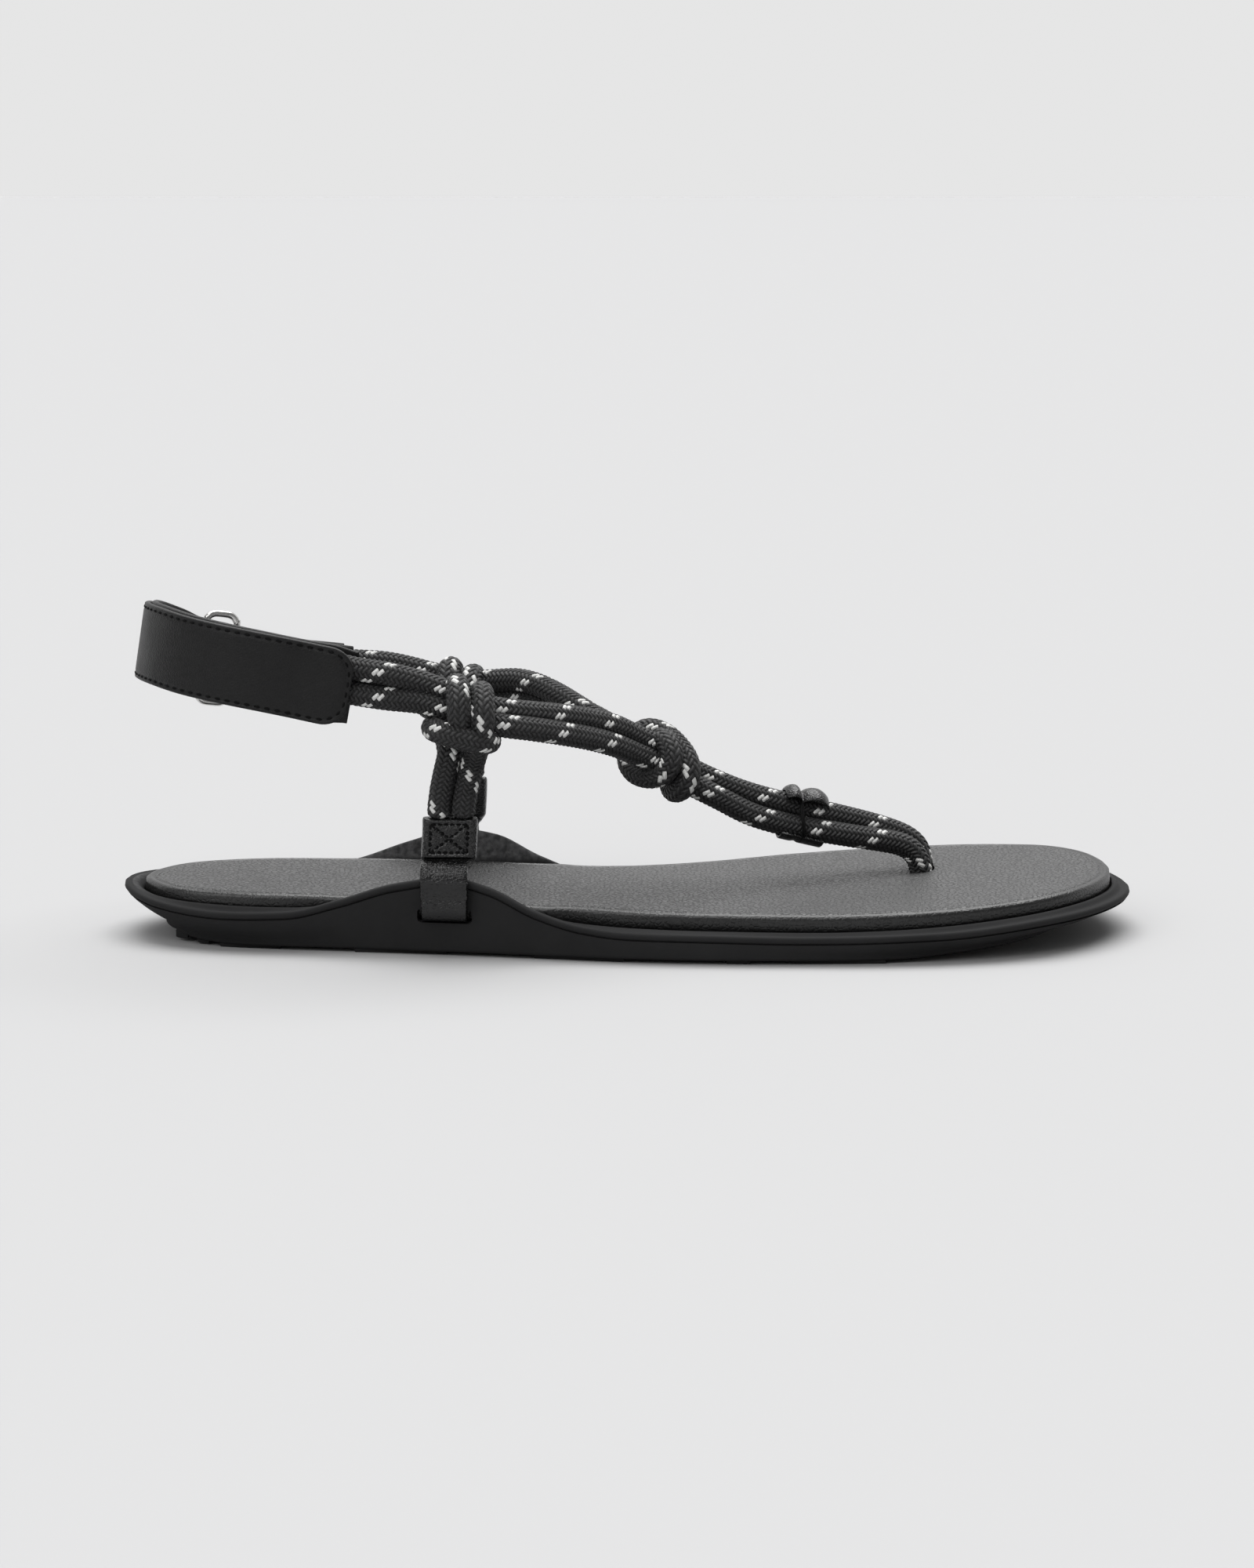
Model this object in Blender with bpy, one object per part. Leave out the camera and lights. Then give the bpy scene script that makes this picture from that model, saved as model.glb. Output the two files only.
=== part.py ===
"""Right rope sandal: a moulded sole unit with side wings, a padded footbed, side tabs, a knotted rope
upper with a toe post, a leather keeper, and a heel strap that folds back through a metal ring.

The toe points along +X, the lateral side along -Y and up along +Z. Sizes are in metres.
"""
import math

import bpy
import numpy as np
from mathutils import Vector

MM = 0.001

# Driving sizes of the sole unit
SOLE_LENGTH = 252.6 * MM
BALL_WIDTH = 95.5 * MM
WING_HEIGHT = 21.8 * MM
LUG_DEPTH = 0.9 * MM
TREAD_EDGE_RADIUS = 0.9 * MM
LIP_HEIGHT = 1.6 * MM
LIP_PROUD = 0.7 * MM
LIP_WIDTH = 2.3 * MM
WING_WALL = 3.3 * MM
WING_BLEND = 2.5 * MM
CLEARANCE = 0.3 * MM

# Driving sizes of the footbed
HEEL_SEAT_HEIGHT = 13.8 * MM
FOOTBED_THICKNESS = 4.6 * MM
FOOTBED_ROLL = 2.0 * MM
FOOTBED_CANT = 0.9 * MM
CANT_REACH = 0.4
HEEL_DISH = 0.7 * MM
DISH_PLACE = -0.72
DISH_REACH = 0.2
HOLE_LOW = 3.0 * MM
HOLE_HIGH = 20.0 * MM

# Driving sizes of the side tabs and their slots
TAB_CENTRE_X = -44.6 * MM
TAB_TOP_X = -43.2 * MM
TAB_TOP_HEIGHT = 33.4 * MM
TAB_TOP_WIDTH = 13.4 * MM
TAB_STRIP_WIDTH = 11.8 * MM
TAB_PATCH_THICKNESS = 4.6 * MM
TAB_STRIP_THICKNESS = 1.7 * MM
TAB_PATCH_LENGTH = 9.2 * MM
TAB_LATERAL_Y = -33.0 * MM
TAB_MEDIAL_Y = 27.4 * MM
SLOT_HEIGHT = 3.4 * MM
SLOT_FLOOR = 8.2 * MM
SLOT_WIDTH = 13.4 * MM
SLOT_ROUNDING = 0.3
SLOT_OUTER_REACH = 4.0 * MM
SLOT_INNER_REACH = 2.5 * MM
POCKET_REACH = 3.0 * MM
POCKET_SLACK = 1.6 * MM
POCKET_DROP = 2.0 * MM
TAB_TAIL = 7.0 * MM

# Driving sizes of the rope and its keeper
ROPE_DIAMETER = 6.0 * MM
ROPE_SIDES = 8
STRAND_STEP = 4.4 * MM
KNOT_STEP = 3.4 * MM
STRAND_TURN = 0.13
POST_HOLE_SLACK = 1.2 * MM
KEEPER_WALL = 1.2 * MM
KEEPER_BULGE = 0.7 * MM
KEEPER_START_X = 38.2 * MM
KEEPER_LENGTH = 11.5 * MM
KEEPER_STEPS = 8
KEEPER_LOBE_FORM = 0.8
KEEPER_SLACK = 0.15 * MM

# Driving sizes of the heel strap and its ring
STRAP_WIDTH = 19.0 * MM
STRAP_THICKNESS = 1.5 * MM
STRAP_LAYER_GAP = 0.5 * MM
STRAP_BACK_HEIGHT = 73.6 * MM
STRAP_LEAN = 9.0
STRAP_BASE_WIDTH = 16.8 * MM
STRAP_BASE_TAPER = 5.4 * MM
STRAP_END_SETBACK = 1.0 * MM
STRAP_END_RADIUS = 6.4 * MM
STRAP_END_PARTS = 6
STRAP_SPACING = 4.2 * MM
STRAP_OPENING = 8.0 * MM
STRAP_INNER_SWELL = 1.04
LEAN_START_X = -85.0 * MM
LEAN_REACH = 30.0 * MM
HEEL_MIDDLE = (-90.0 * MM, -3.0 * MM, 0.0)
FOLD_PARTS = 6
RING_WIRE = 1.8 * MM
RING_HEIGHT = 24.6 * MM
RING_WIDTH = 10.4 * MM
RING_CORNER = 2.8 * MM
RING_CORNER_SHARE = 0.4
RING_SIDE_PLAY = 0.5 * MM
WIRE_SIDES = 8
CORNER_PARTS = 4
RING_TAB_WIDTH = 14.0 * MM
RING_TAB_STEPS = 7
RING_TAB_OPENING = 0.28
RING_TAB_BOW = 0.9 * MM

HALF_LENGTH = SOLE_LENGTH / 2
HALF_BALL = BALL_WIDTH / 2
ROPE_RADIUS = ROPE_DIAMETER / 2

# Rim of the sole seen from above, clockwise from the heel tip along the lateral side.
# Columns: along as a share of half the length, across as a share of half the ball width.
RIM_OUTLINE = (
    (-1.000, -0.055),
    (-0.970, -0.325),
    (-0.890, -0.530),
    (-0.750, -0.655),
    (-0.555, -0.697),
    (-0.350, -0.762),
    (-0.160, -0.855),
    (0.000, -0.940),
    (0.160, -0.982),
    (0.335, -0.998),
    (0.500, -0.994),
    (0.650, -0.940),
    (0.790, -0.808),
    (0.895, -0.590),
    (0.968, -0.300),
    (1.000, -0.020),
    (0.994, 0.250),
    (0.962, 0.534),
    (0.890, 0.765),
    (0.775, 0.922),
    (0.635, 0.998),
    (0.480, 0.974),
    (0.320, 0.870),
    (0.160, 0.715),
    (0.000, 0.600),
    (-0.160, 0.552),
    (-0.350, 0.565),
    (-0.590, 0.573),
    (-0.750, 0.556),
    (-0.890, 0.430),
    (-0.970, 0.220),
)

# Height of the rim. Columns: along, lateral and medial height as shares of the wing height.
RIM_HEIGHTS = (
    (-1.00, 0.600, 0.600),
    (-0.93, 0.520, 0.550),
    (-0.78, 0.450, 0.450),
    (-0.66, 0.472, 0.472),
    (-0.56, 0.610, 0.575),
    (-0.45, 0.805, 0.790),
    (-0.345, 0.890, 0.945),
    (-0.27, 0.790, 0.880),
    (-0.18, 0.545, 0.620),
    (-0.09, 0.400, 0.430),
    (0.00, 0.350, 0.385),
    (0.15, 0.340, 0.365),
    (0.32, 0.326, 0.355),
    (0.60, 0.362, 0.395),
    (0.83, 0.454, 0.475),
    (1.00, 0.486, 0.486),
)

# Lengthwise form of tread, wall and footbed. Columns: along, lift of the tread, inset of the tread
# edge, inset of the footbed, footbed top and depth of its seat, as shares of the heel seat height.
LENGTHWISE = (
    (-1.00, 0.380, 0.620, 0.400, 1.015, 0.150),
    (-0.94, 0.190, 0.450, 0.330, 1.014, 0.150),
    (-0.86, 0.040, 0.360, 0.305, 1.008, 0.150),
    (-0.78, 0.000, 0.290, 0.300, 1.000, 0.155),
    (-0.56, 0.000, 0.130, 0.285, 0.980, 0.170),
    (-0.35, 0.000, 0.020, 0.265, 0.945, 0.200),
    (-0.12, 0.000, 0.010, 0.420, 0.875, 0.225),
    (0.16, 0.000, 0.020, 0.370, 0.827, 0.235),
    (0.35, 0.000, 0.060, 0.310, 0.827, 0.235),
    (0.50, 0.000, 0.150, 0.310, 0.855, 0.225),
    (0.62, 0.060, 0.270, 0.310, 0.897, 0.205),
    (0.78, 0.165, 0.440, 0.320, 0.975, 0.185),
    (0.90, 0.290, 0.620, 0.310, 1.035, 0.175),
    (1.00, 0.520, 0.850, 0.320, 1.060, 0.170),
)

# Wall of the sole. Columns: share of its height, and share of the tread's inset that is left there.
WALL_FORM = ((0.42, 0.48), (0.74, 0.16))

# Lip of the sole. Columns: place across as a share of its width, and below the rim as a share of its height.
LIP_FORM = ((0.0, 0.75), (0.0, 0.30), (0.3, 0.0))
LIP_INNER = 0.85
WELL_DRAFT = 0.1 * LIP_WIDTH
SEAT_SLACK = 0.12 * LIP_WIDTH

# Rolled edge of the footbed. Columns: inset and drop as shares of the roll.
ROLL_FORM = ((0.0, 0.9), (0.32, 0.3), (1.0, 0.0))
ROLL_UNDER = 0.1

# Tread lugs. Columns: rear end and front end as shares of half the length, and whether a channel
# along the middle splits the lug in two.
LUGS = (
    (-0.888, -0.862, False),
    (-0.842, -0.818, False),
    (-0.795, -0.675, True),
    (-0.530, -0.350, True),
    (-0.183, -0.008, True),
    (0.185, 0.232, False),
    (0.310, 0.490, True),
)
LUG_SPLIT = 6.0 * MM
LUG_ROOT = 1.2 * MM
LUG_PARTS = 18
LUG_MARGIN = 0.5 * MM

SIDE_LINE = -0.06 * HALF_BALL
STATIONS = 46
TOP_COLUMNS = 6
PLAIN_COLUMNS = 2


def smooth(rows, at, column):
    """A table's column at a place in its first column, on a curve that keeps to the rows' range."""
    x = np.array([row[0] for row in rows])
    y = np.array([row[column] for row in rows])
    step = np.diff(x)
    slope = np.diff(y) / step
    tangent = np.zeros(len(x))
    for i in range(1, len(x) - 1):
        if slope[i - 1] * slope[i] > 0:
            before = 2 * step[i] + step[i - 1]
            after = step[i] + 2 * step[i - 1]
            tangent[i] = (before + after) / (before / slope[i - 1] + after / slope[i])
    tangent[0] = slope[0]
    tangent[-1] = slope[-1]
    at = min(max(at, x[0]), x[-1])
    i = min(int(np.searchsorted(x, at, side="right")) - 1, len(step) - 1)
    t = (at - x[i]) / step[i]
    return float(
        y[i] * (1 + 2 * t) * (1 - t) ** 2
        + tangent[i] * step[i] * t * (1 - t) ** 2
        + y[i + 1] * t * t * (3 - 2 * t)
        + tangent[i + 1] * step[i] * t * t * (t - 1)
    )


def spline(points, spacing, closed=False):
    """Points at an even spacing along a smooth curve through the given points."""
    points = [Vector(p) for p in points]
    count = len(points)
    spans = count if closed else count - 1
    fine = []
    for i in range(spans):
        places = [i + k for k in (-1, 0, 1, 2)]
        near = [points[k % count] if closed else points[min(max(k, 0), count - 1)] for k in places]
        for part in range(12):
            t = part / 12
            fine.append(
                0.5
                * (
                    2 * near[1]
                    + (near[2] - near[0]) * t
                    + (2 * near[0] - 5 * near[1] + 4 * near[2] - near[3]) * t * t
                    + (3 * near[1] - near[0] - 3 * near[2] + near[3]) * t**3
                )
            )
    fine.append(points[0] if closed else points[-1])
    lengths = [0.0]
    for a, b in zip(fine, fine[1:]):
        lengths.append(lengths[-1] + (b - a).length)
    pieces = max(2, round(lengths[-1] / spacing))
    wanted = np.linspace(0, lengths[-1], pieces + 1)
    even = np.column_stack([np.interp(wanted, lengths, [p[axis] for p in fine]) for axis in range(3)])
    return [Vector(p) for p in (even[:-1] if closed else even)]


def principled(name, colour, roughness, metallic=0.0):
    """A plain material of one colour."""
    material = bpy.data.materials.new(name)
    material.use_nodes = True
    shader = material.node_tree.nodes["Principled BSDF"]
    shader.inputs["Base Color"].default_value = (*colour, 1.0)
    shader.inputs["Roughness"].default_value = roughness
    shader.inputs["Metallic"].default_value = metallic
    return material


def body(name, points, faces, material):
    """An object from points and faces, with its faces pointing out."""
    mesh = bpy.data.meshes.new(name)
    mesh.from_pydata([tuple(p) for p in points], [], faces)
    mesh.validate()
    mesh.materials.append(material)
    mesh.shade_smooth()
    mesh.set_sharp_from_angle(angle=math.radians(35))
    piece = bpy.data.objects.new(name, mesh)
    bpy.context.collection.objects.link(piece)
    return piece


def boolean(piece, operation, other, crosses_itself=False):
    """Join or cut a piece with another object, which is then only a guide."""
    other.hide_render = True
    other.display_type = "WIRE"
    modifier = piece.modifiers.new(other.name, "BOOLEAN")
    modifier.operation = operation
    modifier.solver = "EXACT"
    modifier.use_self = crosses_itself
    modifier.object = other


def rim_stations():
    """The rim's points from above: a list for the lateral side and one for the medial side.

    Both run from the heel tip to the toe tip through the same stations, closer at the two ends.
    Each point comes with its outward direction.
    """
    corners = [(along * HALF_LENGTH, across * HALF_BALL, 0) for along, across in RIM_OUTLINE]
    curve = spline(corners, SOLE_LENGTH / 500, closed=True)
    for axis, half in ((0, HALF_LENGTH), (1, HALF_BALL)):
        low = min(p[axis] for p in curve)
        high = max(p[axis] for p in curve)
        for point in curve:
            point[axis] = half * (2 * (point[axis] - low) / (high - low) - 1)
    heel = min(range(len(curve)), key=lambda i: curve[i].x)
    curve = curve[heel:] + curve[:heel]
    toe = max(range(len(curve)), key=lambda i: curve[i].x)
    sides = []
    for chain in (curve[: toe + 1], [curve[0]] + curve[:toe - 1:-1]):
        along = [p.x for p in chain]
        picked = []
        for k in range(STATIONS + 1):
            share = k / STATIONS
            eased = -0.62 * math.cos(math.pi * share) + 0.38 * (2 * share - 1)
            want = along[0] + (along[-1] - along[0]) * (eased + 1) / 2
            i = min(int(np.searchsorted(along, want)), len(chain) - 1)
            picked.append(i)
        sides.append([chain[i] for i in picked])
    lateral, medial = sides
    loop = lateral + medial[-2:0:-1]
    outward = []
    for i, point in enumerate(loop):
        run = loop[(i + 1) % len(loop)] - loop[i - 1]
        outward.append(Vector((run.y, -run.x, 0)).normalized())
    return loop, outward


RIM_LOOP, RIM_OUTWARD = rim_stations()
LOOP_SIZE = len(RIM_LOOP)


def station_ring(inset, height):
    """A ring that follows the rim, set in by a distance and raised to a height, both by place."""
    ring = []
    for point, outward in zip(RIM_LOOP, RIM_OUTWARD):
        share = point.x / HALF_LENGTH
        medial = point.y > 0
        moved = point - outward * inset(share, medial)
        ring.append(Vector((moved.x, moved.y, height(share, medial))))
    return ring


def rim_height(share, medial):
    return smooth(RIM_HEIGHTS, share, 2 if medial else 1) * WING_HEIGHT


def lengthwise(column, share):
    return smooth(LENGTHWISE, share, column) * HEEL_SEAT_HEIGHT


def tread_height(share):
    return LUG_DEPTH + lengthwise(1, share)


def footbed_top(share, medial):
    cant = FOOTBED_CANT * min(max(share / CANT_REACH, 0), 1) if medial else 0
    return lengthwise(4, share) + cant


def seat_height(share, medial):
    """Where the sole's top meets the footbed's side."""
    return footbed_top(share, medial) - lengthwise(5, share)


def well_floor(share, medial):
    return footbed_top(share, False) - FOOTBED_THICKNESS - CLEARANCE


def wing_share(share, medial):
    """0 where the rim lies at the seat's height, 1 where it stands up as a wing."""
    rise = (rim_height(share, medial) - seat_height(share, medial)) / WING_BLEND
    return min(max(rise, 0), 1)


def lofted(name, rings, top, bottom, top_columns, material):
    """A closed body through rings, with a cap of rows across the sole at both ends."""
    points = [p for ring in rings for p in ring]
    faces = []
    for level in range(len(rings) - 1):
        for i in range(LOOP_SIZE):
            j = (i + 1) % LOOP_SIZE
            low, high = level * LOOP_SIZE, (level + 1) * LOOP_SIZE
            faces.append((low + i, low + j, high + j, high + i))
    last = (len(rings) - 1) * LOOP_SIZE
    caps = ((0, bottom, PLAIN_COLUMNS, False), (last, top, top_columns, True))
    for start, surface, columns, upward in caps:
        rows = [[start] * (columns + 1)]
        for k in range(1, STATIONS):
            lateral, medial = start + k, start + LOOP_SIZE - k
            row = [lateral]
            for column in range(1, columns):
                share = column / columns
                point = points[lateral].lerp(points[medial], share)
                point.z = surface(point, share)
                points.append(point)
                row.append(len(points) - 1)
            rows.append(row + [medial])
        rows.append([start + STATIONS] * (columns + 1))
        for back, front in zip(rows, rows[1:]):
            for column in range(columns):
                face = [back[column], front[column], front[column + 1], back[column + 1]]
                face = [v for i, v in enumerate(face) if v != face[i - 1]]
                faces.append(face if upward else face[::-1])
    return body(name, points, faces, material)


def prism(name, corners, low, high, material):
    """A straight body over a closed outline seen from above."""
    count = len(corners)
    points = [Vector((x, y, z)) for z in (low, high) for x, y in corners]
    faces = [(i, (i + 1) % count, count + (i + 1) % count, count + i) for i in range(count)]
    faces += [tuple(range(count))[::-1], tuple(range(count, 2 * count))]
    return body(name, points, faces, material)


def build_outsole(material):
    """The moulded unit: tread, curved wall, lip, side wings, the seat and the well for the footbed."""

    def tread_inset(share, medial):
        return lengthwise(2, share)

    def wall_height(part):
        return lambda share, medial: (
            tread_height(share) * (1 - part) + (rim_height(share, medial) - LIP_HEIGHT) * part
        )

    def seat_inset(share, medial):
        wing = wing_share(share, medial)
        return lengthwise(3, share) * (1 - wing) + WING_WALL * wing

    def lip_inner_height(share, medial):
        wing = wing_share(share, medial)
        slope = 0.5 * (rim_height(share, medial) + seat_height(share, medial))
        return slope * (1 - wing) + rim_height(share, medial) * wing

    rings = [
        station_ring(
            lambda s, m: tread_inset(s, m) + TREAD_EDGE_RADIUS + LIP_PROUD,
            lambda s, m: tread_height(s),
        ),
        station_ring(
            lambda s, m: tread_inset(s, m) + LIP_PROUD,
            lambda s, m: tread_height(s) + TREAD_EDGE_RADIUS,
        ),
        *[
            station_ring(lambda s, m, left=left: tread_inset(s, m) * left + LIP_PROUD, wall_height(part))
            for part, left in WALL_FORM
        ],
        station_ring(lambda s, m: LIP_PROUD, wall_height(1)),
        *[
            station_ring(
                lambda s, m, across=across: across * LIP_WIDTH,
                lambda s, m, below=below: rim_height(s, m) - below * LIP_HEIGHT,
            )
            for across, below in LIP_FORM
        ],
        station_ring(lambda s, m: LIP_INNER * LIP_WIDTH, lip_inner_height),
        station_ring(seat_inset, seat_height),
        station_ring(lambda s, m: seat_inset(s, m) + WELL_DRAFT, well_floor),
    ]

    def tread(point, share):
        return tread_height(point.x / HALF_LENGTH)

    def floor(point, share):
        return well_floor(point.x / HALF_LENGTH, False)

    sole = lofted("outsole", rings, floor, tread, PLAIN_COLUMNS, material)
    for number, (rear, front, split) in enumerate(LUGS):
        for side in ("lateral", "medial") if split else ("whole",):
            boolean(sole, "UNION", build_lug(number, rear, front, side, material))
    for side in (False, True):
        boolean(sole, "DIFFERENCE", slot_cutter(side, material))
    return sole


def build_lug(number, rear, front, side, material):
    """One tread lug: it follows the tread's edges and stands on the floor."""
    inset = lengthwise(2, (rear + front) / 2) + TREAD_EDGE_RADIUS + LIP_PROUD + LUG_MARGIN
    places = np.linspace(rear * HALF_LENGTH, front * HALF_LENGTH, max(2, round((front - rear) * LUG_PARTS)))
    lateral = [(x, side_y(x, False, inset)) for x in places]
    medial = [(x, side_y(x, True, inset)) for x in places]
    middle = [(x, (low[1] + high[1]) / 2) for x, low, high in zip(places, lateral, medial)]
    if side == "lateral":
        medial = [(x, y - LUG_SPLIT / 2) for x, y in middle]
    if side == "medial":
        lateral = [(x, y + LUG_SPLIT / 2) for x, y in middle]
    lift = lengthwise(1, (rear + front) / 2)
    return prism(f"lug_{number}_{side}", lateral + medial[::-1], lift, lift + LUG_DEPTH + LUG_ROOT, material)


def side_y(x, medial, inset):
    """Across place of a line that follows the rim on one side, set in by a distance."""
    ring = station_ring(lambda s, m: inset, lambda s, m: 0)
    edge = sorted((p for p in ring if (p.y > SIDE_LINE) == medial), key=lambda p: p.x)
    return float(np.interp(x, [p.x for p in edge], [p.y for p in edge]))


def slot_cutter(medial, material):
    """A flat opening with round ends through the wing, for the tab."""
    sign = 1 if medial else -1
    name = f"slot_{'medial' if medial else 'lateral'}"
    outer = side_y(TAB_CENTRE_X, medial, 0) + sign * SLOT_OUTER_REACH
    inner = side_y(TAB_CENTRE_X, medial, WING_WALL) - sign * SLOT_INNER_REACH
    radius = SLOT_HEIGHT * SLOT_ROUNDING
    outline = []
    corner_places = ((1, 1), (-1, 1), (-1, -1), (1, -1))
    for corner, (right, up) in enumerate(corner_places):
        centre_x = TAB_CENTRE_X + right * (SLOT_WIDTH / 2 - radius)
        centre_z = SLOT_FLOOR + SLOT_HEIGHT / 2 + up * (SLOT_HEIGHT / 2 - radius)
        for part in range(4):
            angle = math.radians(90 * corner + 30 * part)
            outline.append((centre_x + radius * math.cos(angle), centre_z + radius * math.sin(angle)))
    count = len(outline)
    points = [Vector((x, y, z)) for y in (min(outer, inner), max(outer, inner)) for x, z in outline]
    faces = [(i, (i + 1) % count, count + (i + 1) % count, count + i) for i in range(count)]
    faces += [tuple(range(count))[::-1], tuple(range(count, 2 * count))]
    faces = [face[::-1] for face in faces]
    return body(name, points, faces, material)


def build_footbed(material):
    """The padded insole: a flat underside, an upright side and a rolled top edge, dished at the heel."""

    def side_inset(share, medial):
        wing = wing_share(share, medial)
        return lengthwise(3, share) * (1 - wing) + WING_WALL * wing + CLEARANCE + SEAT_SLACK

    def rolled(part):
        return lambda s, m: side_inset(s, m) + FOOTBED_ROLL * part

    def under(share, medial):
        return well_floor(share, medial) + CLEARANCE

    rings = [
        station_ring(rolled(ROLL_UNDER), under),
        station_ring(rolled(0), lambda s, m: 0.5 * (under(s, m) + footbed_top(s, m))),
        *[
            station_ring(rolled(part), lambda s, m, drop=drop: footbed_top(s, m) - FOOTBED_ROLL * drop)
            for part, drop in ROLL_FORM
        ],
    ]

    def top(point, share):
        along = point.x / HALF_LENGTH
        middle = 4 * share * (1 - share)
        dish = HEEL_DISH * middle * math.exp(-(((along - DISH_PLACE) / DISH_REACH) ** 2))
        level = footbed_top(along, False) * (1 - share) + footbed_top(along, True) * share
        return level - dish

    def base(point, share):
        return under(point.x / HALF_LENGTH, False)

    footbed = lofted("footbed", rings, top, base, TOP_COLUMNS, material)
    for side in (False, True):
        boolean(footbed, "DIFFERENCE", tab_pocket(side, material))
    boolean(footbed, "DIFFERENCE", post_hole(material))
    return footbed


def tab_pocket(medial, material):
    """The shallow rebate in the footbed's underside that takes the tail of a tab."""
    sign = 1 if medial else -1
    edge = side_y(TAB_CENTRE_X, medial, WING_WALL) + sign * POCKET_REACH
    inner = edge - sign * (POCKET_REACH + TAB_TAIL + POCKET_SLACK)
    half = TAB_STRIP_WIDTH / 2 + 2 * CLEARANCE
    low_y, high_y = min(edge, inner), max(edge, inner)
    corners = [
        (TAB_CENTRE_X - half, low_y),
        (TAB_CENTRE_X + half, low_y),
        (TAB_CENTRE_X + half, high_y),
        (TAB_CENTRE_X - half, high_y),
    ]
    name = f"pocket_{'medial' if medial else 'lateral'}"
    top = tail_height() + TAB_STRIP_THICKNESS / 2 + CLEARANCE
    return prism(name, corners, SLOT_FLOOR - POCKET_DROP, top, material)


def tail_height():
    """Height of the middle of a tab's tail, in its slot and above the well's floor."""
    floor = well_floor(TAB_CENTRE_X / HALF_LENGTH, False)
    return floor + CLEARANCE + TAB_STRIP_THICKNESS / 2


def stadium(centre, across, radius, up, direction, parts=5):
    """A round-ended ring around two points on either side of a centre."""
    side = up.cross(direction).normalized()
    ring = []
    for end in (1, -1):
        for part in range(parts + 1):
            angle = math.pi * part / parts
            offset = side * math.cos(angle) * end + up * math.sin(angle) * end
            ring.append(centre + up * across * end + offset * radius)
    return ring


def build_tab(medial, material):
    """One side tab: a stitched patch over the rope's ends, and a strip that goes down through the slot."""
    sign = 1 if medial else -1
    wall = side_y(TAB_CENTRE_X, medial, 0) + sign * (CLEARANCE + TAB_STRIP_THICKNESS / 2)
    tail_end = side_y(TAB_CENTRE_X, medial, WING_WALL) - sign * TAB_TAIL
    top_y = TAB_MEDIAL_Y if medial else TAB_LATERAL_Y
    top = Vector((TAB_TOP_X, top_y, TAB_TOP_HEIGHT))
    rim = rim_height(TAB_CENTRE_X / HALF_LENGTH, medial)
    patch = TAB_PATCH_THICKNESS
    strip = TAB_STRIP_THICKNESS
    patch_end = TAB_TOP_HEIGHT - TAB_PATCH_LENGTH
    tail = tail_height()
    wide, narrow = TAB_TOP_WIDTH, TAB_STRIP_WIDTH
    slot_x = TAB_CENTRE_X
    reach = narrow / 2
    ends = [side_y(slot_x + way * reach, medial, 0) for way in (-1, 1)]
    slope = (ends[1] - ends[0]) / (2 * reach)
    # Columns: x, y, z, thickness, width and slope along the wall of each station down the tab.
    stations = [
        (top.x, top.y, top.z, patch * 0.8, wide, 0),
        (top.x, top.y, top.z - 1.2 * MM, patch, wide, 0),
        (top.x - 0.3 * MM, top.y * 0.75 + wall * 0.25, patch_end + 1.6 * MM, patch, wide * 0.99, 0),
        (top.x - 0.5 * MM, top.y * 0.4 + wall * 0.6, patch_end, strip * 1.5, narrow * 1.03, 0),
        (slot_x, wall, rim + 0.6 * MM, strip, narrow, slope),
        (slot_x, wall, tail + 3.6 * MM, strip, narrow * 0.97, slope),
        (slot_x, wall - sign * 0.15 * MM, tail + 1.5 * MM, strip, narrow * 0.96, slope),
        (slot_x, wall - sign * 1.3 * MM, tail + 0.15 * MM, strip * 0.95, narrow * 0.96, slope),
        (slot_x, wall - sign * 2.6 * MM, tail, strip * 0.9, narrow * 0.96, slope),
        (slot_x, tail_end, tail, strip * 0.9, narrow * 0.96, slope),
    ]
    points = []
    for number, (x, y, z, thick, width, turned) in enumerate(stations):
        before = stations[max(number - 1, 0)]
        after = stations[min(number + 1, len(stations) - 1)]
        run = Vector((0, after[1] - before[1], after[2] - before[2])).normalized()
        out = Vector((0, run.z, -run.y))
        for side, face in ((-1, -1), (1, -1), (1, 1), (-1, 1)):
            across = side * width / 2
            points.append(Vector((x + across, y + across * turned, z)) + out * face * thick / 2)
    return loft_bars(f"{'medial' if medial else 'lateral'}_tab", points, 4, material)


def loft_bars(name, points, corner_count, material, closed=False):
    """A closed body through sections of a few corners each, turned out whichever way they run."""
    sections = len(points) // corner_count
    faces = []
    for number in range(sections if closed else sections - 1):
        low = number * corner_count
        high = (number + 1) % sections * corner_count
        for i in range(corner_count):
            j = (i + 1) % corner_count
            faces.append((low + i, low + j, high + j, high + i))
    if not closed:
        last = (sections - 1) * corner_count
        faces.append(tuple(range(corner_count))[::-1])
        faces.append(tuple(range(last, last + corner_count)))
    volume = 0.0
    for face in faces:
        for k in range(1, len(face) - 1):
            volume += points[face[0]].dot(points[face[k]].cross(points[face[k + 1]]))
    if volume < 0:
        faces = [face[::-1] for face in faces]
    return body(name, points, faces, material)


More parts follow.
